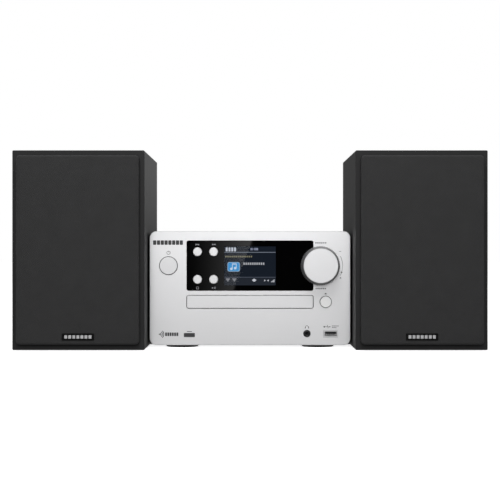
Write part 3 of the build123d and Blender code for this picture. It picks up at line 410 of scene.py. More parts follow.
def windowFinish(name, openArea, dark):
    # black gloss outside the open area and clear tinted gloss inside it, by a box mask in X and Z
    mat = baseFinish(name, dark, 0.05, 0.0, Specular_IOR_Level=0.35)
    nodes = mat.node_tree.nodes
    space = patternSpace(mat, (1, 1, 1))
    dust = noiseOf(mat, space, 160.0, 4.0)
    wire(mat, spanOf(mat, dust, 0.015, 0.03), shaderInput(mat, "Roughness"))
    wire(mat, tint(mat, dust, dark, scaled(dark, 1.6)), shaderInput(mat, "Base Color"))
    inside = maths(mat, "LESS_THAN", beyondBox(mat, space, *openArea), 0.0)
    clear = addNode(mat, "ShaderNodeBsdfTransparent")
    clear.inputs["Color"].default_value = (0.93, 0.93, 0.95, 1)
    gloss = addNode(mat, "ShaderNodeBsdfGlossy", Roughness=0.02)
    fresnel = addNode(mat, "ShaderNodeFresnel", IOR=1.4)
    pane = mixedShaders(mat, fresnel.outputs[0], clear, gloss)
    both = mixedShaders(mat, inside, nodes["Principled BSDF"], pane)
    wire(mat, both.outputs[0], nodes["Material Output"].inputs["Surface"])
    return mat


def speckled(name, color, rough, metallic, grain, **sockets):
    # plated sheet: large crystals from cells in colour, fine noise in height
    mat = baseFinish(name, color, sum(rough) / 2, metallic, **sockets)
    space = patternSpace(mat, (1, 1, 1))
    cells = addNode(mat, "ShaderNodeTexVoronoi", Scale=grain)
    wire(mat, space, cells.inputs["Vector"])
    mono = addNode(mat, "ShaderNodeRGBToBW")
    wire(mat, cells.outputs["Color"], mono.inputs[0])
    wire(mat, spanOf(mat, mono.outputs[0], *rough), shaderInput(mat, "Roughness"))
    wire(mat, tint(mat, mono.outputs[0], scaled(color, 0.88), scaled(color, 1.1)), shaderInput(mat, "Base Color"))
    useBump(mat, noiseOf(mat, space, 1200.0, 2.0), 0.00001)
    return mat


def boardFinish(name, color, copper):
    # solder mask over copper tracks: thin bands where noise crosses its middle value
    mat = baseFinish(name, color, 0.35, 0.0)
    space = patternSpace(mat, (1, 1, 1))
    field = noiseOf(mat, space, 140.0, 1.0, 0.3)
    tracks = maths(mat, "LESS_THAN", maths(mat, "ABSOLUTE", maths(mat, "SUBTRACT", field, 0.5)), 0.02)
    wire(mat, tint(mat, tracks, color, copper), shaderInput(mat, "Base Color"))
    wire(mat, spanOf(mat, noiseOf(mat, space, 400.0), 0.28, 0.45), shaderInput(mat, "Roughness"))
    useBump(mat, tracks, 0.00003)
    return mat


def zonedDriver(name, centre, innerRadius, outerRadius, innerColor, middleColor, outerColor):
    # three zones by distance from the axis: cap, pressed cone with fibres and rings, and rubber roll or face plate
    mat = baseFinish(name, middleColor, 0.7, 0.0, Specular_IOR_Level=0.35)
    distance = offAxis(mat, patternSpace(mat, (1, 0, 1), centre))
    isOuter = maths(mat, "GREATER_THAN", distance, outerRadius)
    isInner = maths(mat, "LESS_THAN", distance, innerRadius)
    fibres = noiseOf(mat, patternSpace(mat, (900, 900, 2600)), 1.0, 4.0, 0.7)
    rings = addNode(mat, "ShaderNodeTexNoise", {"noise_dimensions": "1D"}, Scale=900.0, Detail=1.0)
    wire(mat, distance, rings.inputs["W"])
    relief = blendOf(mat, fibres, rings.outputs["Fac"], 0.5)
    inner, middle, outer = (
        tint(mat, relief, scaled(color, 0.75), scaled(color, 1.35))
        for color in (innerColor, middleColor, outerColor)
    )
    wire(mat, chosen(mat, isInner, chosen(mat, isOuter, middle, outer), inner), shaderInput(mat, "Base Color"))
    smoother = maths(mat, "MULTIPLY", isInner, 0.3)
    wire(mat, maths(mat, "SUBTRACT", spanOf(mat, fibres, 0.62, 0.85), smoother), shaderInput(mat, "Roughness"))
    useBump(mat, relief, 0.00008)
    return mat


windowSetup = {"low": (-0.0266, 0.0640), "high": (0.0266, 0.1040), "dark": (0.0008, 0.0008, 0.0009)}
acrossGrain = (60, 60, 5200)
finish = {
    "panel": brushedMetal(
        "satinAluminium", (0.83, 0.83, 0.84), (0.34, 0.46), acrossGrain, depth=0.000012, shade=0.03, metallic=0.55),
    "trayLid": brushedMetal(
        "satinAluminiumLid", (0.82, 0.82, 0.83), (0.34, 0.46), acrossGrain, depth=0.000012, shade=0.03, metallic=0.5),
    "knobSide": brushedMetal(
        "knobSatin", (0.25, 0.25, 0.255), (0.40, 0.55), (3000, 60, 3000), depth=0.00001, shade=0.10, metallic=0.2),
    "window": windowFinish("windowGloss", (windowSetup["low"], windowSetup["high"]), windowSetup["dark"]),
    "screen": mouldedPlastic("screenGlass", (0.004, 0.007, 0.022), (0.10, 0.18), grain=900.0, depth=0.000004),
    "blackPlastic": mouldedPlastic("blackMoulding", (0.022, 0.022, 0.023), (0.45, 0.60)),
    "glossPlastic": mouldedPlastic(
        "blackSocket", (0.012, 0.012, 0.013), (0.30, 0.42), grain=1800.0, depth=0.00002),
    "whitePlastic": mouldedPlastic("whiteMoulding", (0.72, 0.71, 0.66), (0.38, 0.50)),
    "coverPaint": texturedPaint("coverPowderCoat", (0.030, 0.030, 0.032), (0.48, 0.62)),
    "chassis": speckled("zincSheet", (0.55, 0.56, 0.58), (0.30, 0.48), metallic=0.9, grain=260.0),
    "brightSteel": brushedMetal(
        "brightSteel", (0.68, 0.68, 0.70), (0.20, 0.34), (2500, 80, 80), depth=0.000008, shade=0.05),
    "usbShell": brushedMetal(
        "usbShellMetal", (0.74, 0.74, 0.75), (0.30, 0.45), (2500, 80, 80), depth=0.000008, shade=0.05, metallic=0.5),
    "nickel": brushedMetal(
        "nickelPlate", (0.72, 0.70, 0.66), (0.14, 0.26), (300, 300, 300), depth=0.000006, shade=0.05),
    "rubber": mouldedPlastic("blackRubber", (0.012, 0.012, 0.012), (0.70, 0.85), grain=1600.0, depth=0.00006),
    "board": boardFinish("greenBoard", (0.03, 0.14, 0.06), (0.10, 0.30, 0.12)),
    "cabinet": wrappedBoard(
        "blackFoilBoard", (0.0225, 0.0225, 0.0230), (0.44, 0.58), (800, 800, 35), depth=0.00005,
        Specular_IOR_Level=0.15),
    "redLever": mouldedPlastic("redMoulding", (0.50, 0.02, 0.02), (0.25, 0.38), grain=1500.0, depth=0.00002),
    "blackLever": mouldedPlastic(
        "blackLeverMoulding", (0.015, 0.015, 0.015), (0.25, 0.38), grain=1500.0, depth=0.00002),
    "mark": mouldedPlastic("printedInk", (0.03, 0.03, 0.032), (0.40, 0.55), grain=3000.0, depth=0.00001),
    "markGrey": mouldedPlastic("printedGreyInk", (0.16, 0.16, 0.17), (0.40, 0.55), grain=3000.0, depth=0.00001),
    "markWhite": mouldedPlastic("printedWhiteInk", (0.30, 0.30, 0.32), (0.40, 0.55), grain=3000.0, depth=0.00001),
}
nodeFinish = {
    "front_panel": "panel", "display_window": "window", "display_module": "screen", "panel_carrier": "blackPlastic",
    "front_board": "board", "encoder_body": "brightSteel", "encoder_slider": "whitePlastic",
    "encoder_shaft": "brightSteel", "volume_knob": "knobSide", "headphone_jack": "glossPlastic",
    "usb_socket": "usbShell", "bottom_chassis": "chassis", "top_cover": "coverPaint", "rear_panel": "coverPaint",
    "mains_inlet": "glossPlastic", "speaker_sockets": "glossPlastic", "aerial_socket": "nickel",
    "rear_screws": "nickel", "main_feet": "rubber", "tray_front": "trayLid", "disc_tray": "blackPlastic",
    "drive_gear": "whitePlastic", "motor_pinion": "whitePlastic", "loading_motor": "brightSteel",
    "loader_frame": "blackPlastic", "clamp_puck": "whitePlastic", "spindle_motor": "brightSteel",
    "turntable": "blackPlastic", "sled_rails": "brightSteel", "laser_sled": "blackPlastic", "main_board": "board",
    "power_board": "board",
}
for side in sides:
    nodeFinish.update({
        f"{side}_cabinet": "cabinet", f"{side}_speaker_feet": "rubber", f"{side}_grille_frame": "blackPlastic",
        f"{side}_grille_cloth": "blackPlastic", f"{side}_woofer_frame": "blackPlastic",
        f"{side}_terminal_cup": "glossPlastic", f"{side}_red_lever": "redLever", f"{side}_black_lever": "blackLever",
    })


def dress(name, mat):
    # put one finish in every slot of a carried-over node
    mesh = bpy.data.objects[name].data
    if len(mesh.materials) == 0:
        mesh.materials.append(mat)
    for i in range(len(mesh.materials)):
        mesh.materials[i] = mat


for name, key in nodeFinish.items():
    dress(name, finish[key])

turned = {
    "power_button": (0.80, 0.80, 0.81), "eject_button": (0.98, 0.98, 0.98), "knob_cap": (0.84, 0.84, 0.85),
    "previous_button": (0.82, 0.82, 0.83), "next_button": (0.82, 0.82, 0.83), "stop_button": (0.82, 0.82, 0.83),
    "play_button": (0.82, 0.82, 0.83),
}
for name, color in turned.items():
    dress(name, turnedMetal(name + "Metal", color, (0.30, 0.44), nodeMiddle(name), metallic=0.45))


# depth and colour of the painted gap shade on the lid's and the keys' side faces
gapShadeSetup = {
    "depth": 0.00015, "color": (0.03, 0.03, 0.03), "keyRadius": {"power_button": 0.00905, "eject_button": 0.00575},
}


def paintedGapShade(mat, place, reach):
    # painted shade: base colour gives way to a dark one where place is over reach, standing in for the shade inside
    # the gap around a part
    socket = shaderInput(mat, "Base Color")
    before = socket.links[0].from_socket
    mix = addNode(mat, "ShaderNodeMix", {"data_type": "RGBA"})
    wire(mat, maths(mat, "GREATER_THAN", place, reach), mix.inputs["Factor"])
    wire(mat, before, mix.inputs[6])
    mix.inputs[7].default_value = (*gapShadeSetup["color"], 1)
    wire(mat, mix.outputs[2], socket)


# painted shade: the lid's and the two large keys' side faces are painted dark for the shade in the gaps around them;
# the lid's lie at its box's limits, a key's at its radius
lidMat = finish["trayLid"]
lidLow, lidHigh = nodeBox("tray_front")
lidPlace = beyondBox(lidMat, patternSpace(lidMat, (1, 1, 1)), lidLow[[0, 2]], lidHigh[[0, 2]])
paintedGapShade(lidMat, lidPlace, -gapShadeSetup["depth"])
for name, radius in gapShadeSetup["keyRadius"].items():
    keyMat = bpy.data.materials[name + "Metal"]
    keyPlace = offAxis(keyMat, patternSpace(keyMat, (1, 0, 1), nodeMiddle(name)))
    paintedGapShade(keyMat, keyPlace, radius - gapShadeSetup["depth"])
print("finishes on the CAD nodes")


# drivers: one finish each, with zones by distance from the axis
driverSetup = {"coneRadius": 0.0400, "capRadius": 0.0180, "domeRadius": 0.0130, "plateRadius": 0.0165}
for side in sides:
    dress(f"{side}_woofer_cone", zonedDriver(
        f"{side}ConeFinish", nodeMiddle(f"{side}_woofer_cone"), driverSetup["capRadius"], driverSetup["coneRadius"],
        innerColor=(0.030, 0.030, 0.032), middleColor=(0.040, 0.038, 0.036), outerColor=(0.012, 0.012, 0.013)))
    dress(f"{side}_tweeter", zonedDriver(
        f"{side}TweeterFinish", nodeMiddle(f"{side}_tweeter"), driverSetup["domeRadius"], driverSetup["plateRadius"],
        innerColor=(0.020, 0.020, 0.024), middleColor=(0.012, 0.012, 0.012), outerColor=(0.022, 0.022, 0.023)))


# grille cloth: the front and its wrapped edges are one sheet, with UV in flat metres
clothSetup = {
    "pitch": 0.00085, "relief": 0.0003, "corner": 0.0038, "edge": 0.0024, "thickness": 0.0006, "shade": 0.38,
    "color": (0.0420, 0.0420, 0.0425), "step": 0.002, "flatStart": 0.2,
}
clothFinish = wovenCloth(
    "charcoalCloth", clothSetup["color"], clothSetup["pitch"], clothSetup["relief"], clothSetup["shade"])


def denseOutline(outline, step):
    # points added along the straight runs of a closed outline, about step apart
    after = np.roll(outline, -1, axis=0)
    runs = np.linalg.norm(after - outline, axis=1)
    return np.concatenate([
        here + (there - here) * np.linspace(0, 1, max(1, int(run / step)), endpoint=False)[:, None]
        for here, there, run in zip(outline, after, runs)
    ])


def grilleSheet(side):
    # outline(s) is a rounded rectangle; ring k stands in from it by edge (1 - sin a) and back by edge (1 - cos a)
    low, high = nodeBox(f"{side}_grille_cloth")
    middle = (low + high) / 2
    size = high - low
    r, edge, thick = clothSetup["corner"], clothSetup["edge"], clothSetup["thickness"]
    outline = denseOutline(outlineShape("roundedRect", w=size[0], h=size[2], r=r, steps=12), clothSetup["step"])
    ahead = np.roll(outline, -1, axis=0) - np.roll(outline, 1, axis=0)
    ahead /= np.linalg.norm(ahead, axis=1, keepdims=True)
    outward = np.stack([ahead[:, 1], -ahead[:, 0]], axis=1)
    a = np.linspace(0, math.pi / 2, 9)
    inset = edge * (1 - np.sin(a))
    back = edge * (1 - np.cos(a))
    run = edge * a - edge
    flat, place = [], []
    for inwards, behind, along in zip(inset, back, run):
        place.append((outline - outward * inwards, low[1] + behind))
        flat.append(outline + outward * along)
    sideRun = run[-1] + size[1] - edge
    place.append((outline, high[1]))
    flat.append(outline + outward * sideRun)
    place.append((outline - outward * thick, high[1]))
    flat.append(outline + outward * sideRun)
    place.append((outline - outward * thick, low[1] + edge))
    flat.append(outline + outward * run[-1])
    place.append((outline - outward * edge, low[1] + thick))
    flat.append(outline - outward * edge)
    n = len(outline)
    points = np.concatenate([np.stack([ring[:, 0], np.full(n, y), ring[:, 1]], axis=1) for ring, y in place])
    points += np.array([middle[0], 0, middle[2]])
    faces = gridFaces(len(place), n, closeColumns=True).tolist()
    faces.append(list(range(n - 1, -1, -1)))
    faces.append(list(range((len(place) - 1) * n, len(place) * n)))
    uv = np.concatenate(flat) + clothSetup["flatStart"]
    piece = newPiece(f"{side}GrilleSheet", points, faces, clothFinish, True, uv)
    outwards(piece)
    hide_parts(f"{side}_grille_cloth")
    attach(piece, f"{side}_grille")


for side in sides:
    grilleSheet(side)
print("grille cloths")


# dark plates low on the grilles, each with a row of plain raised blocks
plateSetup = {
    "width": 0.0320, "height": 0.0070, "corner": 0.0008, "proud": 0.0006, "bevel": 0.0002, "z": 0.0144,
    "offset": -0.0010, "blockRow": 0.0280, "blocks": 7, "blockShare": 0.72, "blockHeight": 0.0034,
    "blockCorner": 0.0004, "blockProud": 0.0003, "blockBevel": 0.0001,
}
plateBlack = mouldedPlastic(
    "plateBlack", (0.002, 0.002, 0.002), (0.30, 0.45), grain=1500.0, depth=0.00002, Specular_IOR_Level=0.1)
plateMetal = brushedMetal(
    "plateMetal", (0.62, 0.62, 0.63), (0.28, 0.42), (60, 60, 6000), depth=0.00001, shade=0.04, metallic=0.6)
for side, sign in sides.items():
    low, high = nodeBox(f"{side}_grille_cloth")
    outline = outlineShape("roundedRect", w=plateSetup["width"], h=plateSetup["height"], r=plateSetup["corner"])
    place = ((low[0] + high[0]) / 2 + sign * plateSetup["offset"], low[1], plateSetup["z"])
    plate = slab(f"{side}BlankPlate", [outline], place, plateSetup["proud"], plateBlack, plateSetup["bevel"])
    step = plateSetup["blockRow"] / plateSetup["blocks"]
    spots = (np.arange(plateSetup["blocks"]) - (plateSetup["blocks"] - 1) / 2) * step
    block = outlineShape(
        "roundedRect", w=step * plateSetup["blockShare"], h=plateSetup["blockHeight"], r=plateSetup["blockCorner"],
        steps=3)
    blocks = slab(
        f"{side}PlateBlocks", [block + np.array([x, 0]) for x in spots],
        (place[0], place[1] - plateSetup["proud"], place[2]), plateSetup["blockProud"], plateMetal,
        plateSetup["blockBevel"])
    for piece, slotName in ((plate, "black_plastic"), (blocks, "key_metal")):
        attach(piece, f"{side}_grille")
print("plates on the grilles")


# printed marks: thin plates in X and Z, with every place and size in millimetres
def moved(outline, x, z):
    # an outline about (0, 0) in millimetres, brought to (x, z) and to metres
    return np.asarray(outline, dtype=float) * mm + np.array([x, z]) * mm


def blockRow(x0, x1, z0, z1, count, gap=0.28):
    # a row of plain blocks that stands where wording would be
    edges = np.linspace(x0, x1, count + 1)
    width = (edges[1] - edges[0]) * (1 - gap)
    return [moved(outlineShape("roundedRect", w=width, h=z1 - z0, r=min(width, z1 - z0) * 0.2, steps=3),
                  left + width / 2, (z0 + z1) / 2) for left in edges[:-1]]


def ringBand(x, z, radius, width, start=0.0, end=360.0):
    # a ring is two half bands, so that each outline stays simple
    middle = (start + end) / 2
    return [moved(arcBand(radius, width, start, middle), x, z), moved(arcBand(radius, width, middle, end), x, z)]


def triangle(x, z, w, h, turn=0.0):
    # w long and h wide, pointing along X before it is turned by an angle in degrees
    a = math.radians(turn)
    shape = np.array([(-w / 2, -h / 2), (w / 2, 0), (-w / 2, h / 2)])
    spin = np.array([(math.cos(a), math.sin(a)), (-math.sin(a), math.cos(a))])
    return moved(shape @ spin, x, z)


def bar(x, z, w, h):
    # a rounded rectangle about (x, z)
    return moved(outlineShape("roundedRect", w=w, h=h, r=min(w, h) * 0.15, steps=3), x, z)


def disc(x, z, r):
    # a full circle about (x, z)
    return moved(outlineShape("circle", r=r, steps=32), x, z)


def knobWedge(x, z, radius, start, end, thin, wide, steps=40):
    # a band whose width grows from thin to wide with the angle
    a = np.radians(np.linspace(start, end, steps))
    half = np.linspace(thin, wide, steps) / 2
    outer = np.stack([np.cos(a) * (radius + half), np.sin(a) * (radius + half)], axis=1)
    inner = np.stack([np.cos(a) * (radius - half), np.sin(a) * (radius - half)], axis=1)[::-1]
    return moved(np.concatenate([outer, inner]), x, z)


knobX, knobZ = nodeMiddle("knob_cap")[[0, 2]] / mm
panelMarks = (
    blockRow(-99.6, -68.4, 105.6, 110.2, 8, 0.14)
    + ringBand(-83.8, 97.5, 1.7, 0.45, 110, 430) + [bar(-83.8, 98.7, 0.45, 1.8)]
    + [disc(knobX + 21.9, knobZ - 6.9, 0.75), triangle(knobX + 20.8, knobZ - 12.4, 1.3, 2.0, 90)]
    + [triangle(77.8, 55.6, 1.6, 2.6, 90)]
    + ringBand(58.5, 20.9, 1.6, 0.4, 0, 180) + [bar(56.9, 20.5, 0.8, 1.5), bar(60.1, 20.5, 0.8, 1.5)]
    + [bar(79.0, 21.4, 6.0, 0.4), disc(76.3, 21.4, 0.8), triangle(82.3, 21.4, 1.4, 1.3)]
    + [bar(79.6, 22.3, 0.4, 1.5), bar(80.2, 20.6, 0.4, 1.3)]
    + [moved(arcBand(r, 0.75, -50, 50, 16), -93.2, 13.7) for r in (1.6, 3.1, 4.6)]
    + [disc(-93.0, 13.7, 0.7)] + blockRow(-87.2, -73.3, 11.9, 15.5, 6, 0.2)
    + [bar(-62.3, 12.9, 11.4, 4.2), bar(-62.3, 16.4, 5.2, 0.7)]
)
greyMarks = (
    blockRow(67.0, 79.0, 107.0, 108.3, 6) + blockRow(67.4, 78.6, 60.0, 61.3, 6)
    + [knobWedge(knobX, knobZ, 22.9, -27, 25, 0.3, 0.5)]
    + [bar(knobX + 20.4, knobZ + 14.6, 2.2, 0.45)]
    + blockRow(84.2, 91.4, 21.8, 22.7, 6) + blockRow(84.2, 89.0, 20.2, 21.1, 4)
)
windowMarks = (
    [triangle(-54.9, 105.9, 1.7, 1.7, 180), triangle(-53.2, 105.9, 1.7, 1.7, 180), bar(-55.9, 105.9, 0.4, 1.7)]
    + [triangle(-38.1, 105.9, 1.7, 1.7), triangle(-36.4, 105.9, 1.7, 1.7), bar(-35.3, 105.9, 0.4, 1.7)]
    + [bar(-53.9, 61.3 + z, 2.6, 0.4) for z in (-1.1, 1.1)] + [bar(-53.9 + x, 61.3, 0.4, 2.6) for x in (-1.1, 1.1)]
    + [triangle(-38.3, 61.4, 1.7, 1.7), bar(-36.7, 61.4, 0.5, 1.7), bar(-35.7, 61.4, 0.5, 1.7)]
)
inkDepth = 0.00006
windowFace = nodeBox("display_window")[0][1]
for name, outlines, face, key, slotName in (
    ("panelMarks", panelMarks, panelFace, "mark", "black_plastic"),
    ("panelGreyMarks", greyMarks, panelFace, "markGrey", "black_plastic"),
    ("windowMarks", windowMarks, windowFace, "markWhite", "white_plastic"),
):
    piece = slab(name, outlines, (0, face, 0), inkDepth, finish[key])
    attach(piece, "main_unit")
print("printed marks")


# what the screen shows: plain shapes in place of any wording
screenFace = nodeBox("display_module")[0][1]
screenSetup = {"glow": 0.75, "layer": 0.00004, "backlight": 0.00001}
noteShape = [
    disc(-19.2, 80.9, 1.3), bar(-18.15, 83.2, 0.6, 4.6), disc(-15.2, 81.6, 1.3), bar(-14.15, 83.9, 0.6, 4.6),
    bar(-16.15, 85.9, 4.6, 1.0),
]
screenParts = {
    "heading": ((0.80, 0.86, 0.95), blockRow(-25.0, -13.5, 98.9, 102.9, 4, 0.3)),
    "clock": ((0.42, 0.46, 0.62), blockRow(0.6, 2.9, 100.0, 102.4, 2) + [disc(3.7, 100.7, 0.3), disc(3.7, 101.8, 0.3)]
              + blockRow(4.6, 8.6, 100.0, 102.4, 3)),
    "rule": ((0.26, 0.30, 0.36), [bar(0, 97.9, 52.6, 0.7)]),
    "title": ((0.36, 0.34, 0.22), blockRow(-25.5, 3.0, 92.7, 94.4, 13, 0.40)),
    "body": ((0.62, 0.64, 0.68), blockRow(-6.8, 15.5, 85.0, 87.4, 10, 0.34)),
    "iconEdge": ((0.42, 0.62, 0.85), [moved(outlineShape("roundedRect", w=12.8, h=9.8, r=2.0), -16.8, 83.0)]),
    "iconFill": ((0.05, 0.33, 0.72), [moved(outlineShape("roundedRect", w=11.6, h=8.6, r=1.6), -16.8, 83.0)]),
    "iconShape": ((0.75, 0.88, 1.00), noteShape),
    "strip": ((0.028, 0.034, 0.046), [bar(0, 67.6, 52.6, 7.4)]),
    "stripRule": ((0.10, 0.115, 0.15), [bar(0, 72.2, 52.6, 0.8)]),
    "stripShapes": ((0.34, 0.35, 0.38), [
        triangle(-22.8, 69.0, 3.0, 4.2, -90), triangle(-16.2, 69.0, 3.0, 4.2, -90), bar(-22.8, 70.7, 4.2, 0.7),
        bar(-16.2, 70.7, 4.2, 0.7)]),
    "stripLights": ((0.85, 0.88, 0.95), [
        disc(4.3, 69.2, 1.5), bar(4.3, 69.2, 4.0, 1.2), triangle(15.4, 68.9, 1.7, 2.0, 0),
        triangle(18.4, 68.9, 1.7, 2.0, 180)] + [bar(22.0 + k * 0.95, 67.5 + k * 0.35, 0.65, 0.8 + k * 0.7)
                                                for k in range(4)]),
}
layers = {"iconFill": 2.0, "iconShape": 3.0, "strip": 0.5}  # depth in layers, where it isn't one
glows = {"iconFill": 0.95, "iconShape": 0.85}  # strength, where it isn't the common one
for name, (color, outlines) in screenParts.items():
    mat = glowing("lit" + name.capitalize(), color, glows.get(name, screenSetup["glow"]))
    depth = screenSetup["layer"] * layers.get(name, 1.0)
    piece = slab("screen" + name[0].upper() + name[1:], outlines, (0, screenFace, 0), depth, mat)
    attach(piece, "main_unit")
night = glowing("litNight", (0.014, 0.020, 0.031), screenSetup["glow"], (0.0005, 0.0005, 0.001))
backlight = slab(
    "screenBacklight", [moved(outlineShape("roundedRect", w=53.0, h=39.8, r=0.6), 0, 84.0)], (0, screenFace, 0),
    screenSetup["backlight"], night)
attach(backlight, "main_unit")
print("screen picture")


# small fittings inside the sockets
usbSetup = {
    "width": 0.0112, "height": 0.0018, "corner": 0.0002, "start": 0.0012, "length": 0.0095, "rise": 0.0008,
    "contacts": (-0.0035, -0.00115, 0.00115, 0.0035), "contactWidth": 0.0011, "contactHeight": 0.0002,
    "contactCorner": 0.00005, "contactEnd": 0.0086, "contactLength": 0.0078, "contactDrop": 0.0001,
}
usbX, _, usbZ = nodeMiddle("usb_socket")
tongueStart = nodeBox("usb_socket")[0][1] + usbSetup["start"]
tongueZ = usbZ + usbSetup["rise"]
tongue = slab(
    "usbTongue", [outlineShape("roundedRect", w=usbSetup["width"], h=usbSetup["height"], r=usbSetup["corner"])],
    (usbX, tongueStart + usbSetup["length"], tongueZ), usbSetup["length"], finish["glossPlastic"],
    usbSetup["corner"])
contact = outlineShape(
    "roundedRect", w=usbSetup["contactWidth"], h=usbSetup["contactHeight"], r=usbSetup["contactCorner"])
contactZ = tongueZ - usbSetup["height"] / 2 - usbSetup["contactDrop"]
contacts = slab(
    "usbContacts", [contact + np.array([x, 0]) for x in usbSetup["contacts"]],
    (usbX, tongueStart + usbSetup["contactEnd"], contactZ), usbSetup["contactLength"], finish["nickel"])
# a lathe profile is a list of radius and depth
jackSetup = {"z": 0.0144, "profile": [
    (0.0019, 0.0002), (0.0019, -0.00015), (0.0022, -0.00025), (0.0027, -0.00025), (0.0029, 0.0), (0.0029, 0.0002),
    (0.0019, 0.0002),
]}
jackPlace = (nodeMiddle("headphone_jack")[0], panelFace, jackSetup["z"])
jackRing = lathe("jackRing", jackSetup["profile"], jackPlace, finish["glossPlastic"], segments=48)
pinSetup = {"offset": 0.004, "root": 0.0109, "profile": [
    (0.0, 0.0), (0.0, 0.0090), (0.0007, 0.0090), (0.0012, 0.0086), (0.00128, 0.0080), (0.00128, 0.0), (0.0, 0.0),
]}
inletX, _, inletZ = nodeMiddle("mains_inlet")
pinRoot = nodeBox("mains_inlet")[1][1] - pinSetup["root"]
pins = [
    lathe(f"mainsPin{i + 1}", pinSetup["profile"], (inletX + x, pinRoot, inletZ), finish["nickel"], segments=32)
    for i, x in enumerate((-pinSetup["offset"], pinSetup["offset"]))
]
for piece, slotName in (
    (tongue, "black_plastic"), (contacts, "nickel"), (jackRing, "black_plastic"), (pins[0], "nickel"),
    (pins[1], "nickel"),
):
    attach(piece, "main_unit")
print("socket fittings")


# floor, sky and lights
def stageMaterial(name, color, strength=0.0):
    # matt paint with slow clouds, which also gives off white light of the strength
    mat = baseFinish(name, color, 0.75, 0.0, Specular_IOR_Level=0.25)
    clouds = noiseOf(mat, patternSpace(mat, (3, 3, 3)), 1.0, 3.0)
    wire(mat, tint(mat, clouds, scaled(color, 0.985), color), shaderInput(mat, "Base Color"))
    shaderInput(mat, "Emission Color").default_value = (1, 1, 1, 1)
    shaderInput(mat, "Emission Strength").default_value = strength
    return mat


stageSetup = {
    "floor": 9.0, "floorColor": (0.92, 0.92, 0.92), "floorGlow": 0.80, "sky": 0.30, "skySeen": 1.0,
    "keyPower": 9.6, "topPower": 3.9, "rimPower": 1.3, "rearPower": 9.0,
}
half = stageSetup["floor"]
floorMat = stageMaterial("paleFloor", stageSetup["floorColor"], stageSetup["floorGlow"])
corners = [(-half, -half, 0), (half, -half, 0), (half, half, 0), (-half, half, 0)]
floor = newPiece("studioFloor", corners, [(0, 1, 2, 3)], floorMat, False)
floor.visible_diffuse = False
floor.visible_glossy = False

world = bpy.data.worlds.new("paleRoom")
world.use_nodes = True
bpy.context.scene.world = world
sky = world.node_tree
skyBase = sky.nodes["Background"]
skyBase.inputs["Color"].default_value = (1, 1, 1, 1)
skyBase.inputs["Strength"].default_value = stageSetup["sky"]
skySeen = sky.nodes.new("ShaderNodeBackground")
skySeen.inputs["Color"].default_value = (1, 1, 1, 1)
skySeen.inputs["Strength"].default_value = stageSetup["skySeen"]
skyPath = sky.nodes.new("ShaderNodeLightPath")
skyMix = sky.nodes.new("ShaderNodeMixShader")
sky.links.new(skyPath.outputs["Is Camera Ray"], skyMix.inputs[0])
sky.links.new(skyBase.outputs[0], skyMix.inputs[1])
sky.links.new(skySeen.outputs[0], skyMix.inputs[2])
sky.links.new(skyMix.outputs[0], sky.nodes["World Output"].inputs["Surface"])
bpy.context.scene.view_settings.view_transform = "Standard"


def softLight(name, place, target, size, power):
    # a rectangular light at place that faces target
    data = bpy.data.lights.new(name, "AREA")
    data.shape = "RECTANGLE"
    data.size, data.size_y = size
    data.energy = power
    lamp = bpy.data.objects.new(name, data)
    lamp.location = place
    lamp.rotation_euler = (Vector(target) - Vector(place)).to_track_quat("-Z", "Y").to_euler()
    lamp.visible_camera = False
    bpy.context.scene.collection.objects.link(lamp)


softLight("keyLight", (-0.05, -2.0, 0.58), (0, 0, 0.1), (0.9, 0.5), stageSetup["keyPower"])
softLight("topLight", (-0.02, -0.62, 0.78), (0, -0.05, 0.1), (0.45, 0.35), stageSetup["topPower"])
softLight("rimLight", (0.55, 2.4, 0.5), (-0.1, 0, 0.12), (0.8, 0.6), stageSetup["rimPower"])
softLight("rearLight", (-0.7, 1.7, 1.7), (0, 0.1, 0.1), (1.0, 0.8), stageSetup["rearPower"])

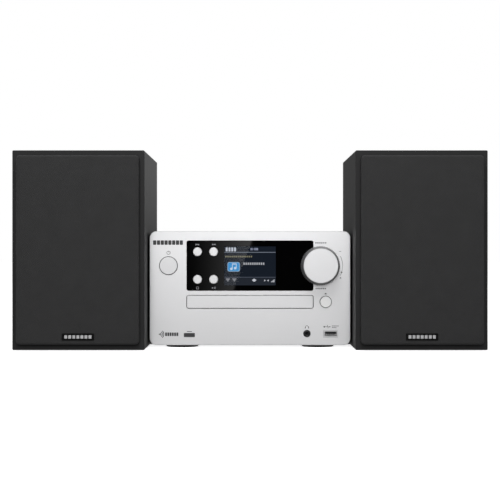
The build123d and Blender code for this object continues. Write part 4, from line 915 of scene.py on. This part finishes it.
# cards in front of the window: a dark one, and a slanted pale one that gives the window its glare
cardSetup = {
    "distance": 2.66, "darkBehind": 0.02, "darkHalf": 0.75, "darkLow": -0.4, "darkTop": 0.5,
    "glare": 1.9, "edgeLow": (-0.052, -0.025), "edgeTop": (0.0066, 0.130), "low": -0.06, "top": 0.17,
    "length": 0.19, "columns": 24, "fade": 0.235, "fadePower": 1.9,
}
cardY = panelFace - cardSetup["distance"]
darkY = cardY - cardSetup["darkBehind"]
half, low, top = cardSetup["darkHalf"], cardSetup["darkLow"], cardSetup["darkTop"]
corners = [(-half, darkY, low), (half, darkY, low), (half, darkY, top), (-half, darkY, top)]
darkMat = stageMaterial("darkCardPaint", (0.0, 0.0, 0.0))
darkCard = newPiece("darkCard", corners, [(0, 1, 2, 3)], darkMat, False)

# the pale card: x(row, column) = slanted edge at the row's height - column * length, and its glow fades to the left
(lowX, lowZ), (topX, topZ) = cardSetup["edgeLow"], cardSetup["edgeTop"]
rows = np.linspace(cardSetup["low"], cardSetup["top"], 2)
columns = np.linspace(0, 1, cardSetup["columns"])
edgeX = topX + (rows[:, None] - topZ) * ((topX - lowX) / (topZ - lowZ))
glareX = edgeX - columns[None, :] * cardSetup["length"]
glareZ = rows[:, None] * np.ones_like(glareX)
glarePoints = np.stack([glareX, np.full_like(glareX, cardY), glareZ], axis=-1).reshape(-1, 3)
fadeAlong = np.clip((edgeX.max() - glareX) / cardSetup["fade"], 0, 1)
glareUv = np.stack([fadeAlong, np.zeros_like(glareX)], axis=-1).reshape(-1, 2)
glareMat = stageMaterial("glareCardPaint", (0.0, 0.0, 0.0), cardSetup["glare"])
left = maths(glareMat, "SUBTRACT", 1.0, coordinate(glareMat, patternSpace(glareMat, (1, 1, 1), useUv=True), 0))
glow = tint(glareMat, maths(glareMat, "POWER", left, cardSetup["fadePower"]), (0, 0, 0), (1, 1, 1))
wire(glareMat, glow, shaderInput(glareMat, "Emission Color"))
glareCard = newPiece("glareCard", glarePoints, gridFaces(2, len(columns)), glareMat, False, glareUv)
for card in (darkCard, glareCard):
    card.visible_camera = False
    card.visible_diffuse = False
    card.visible_shadow = False
print("floor, sky and lights")
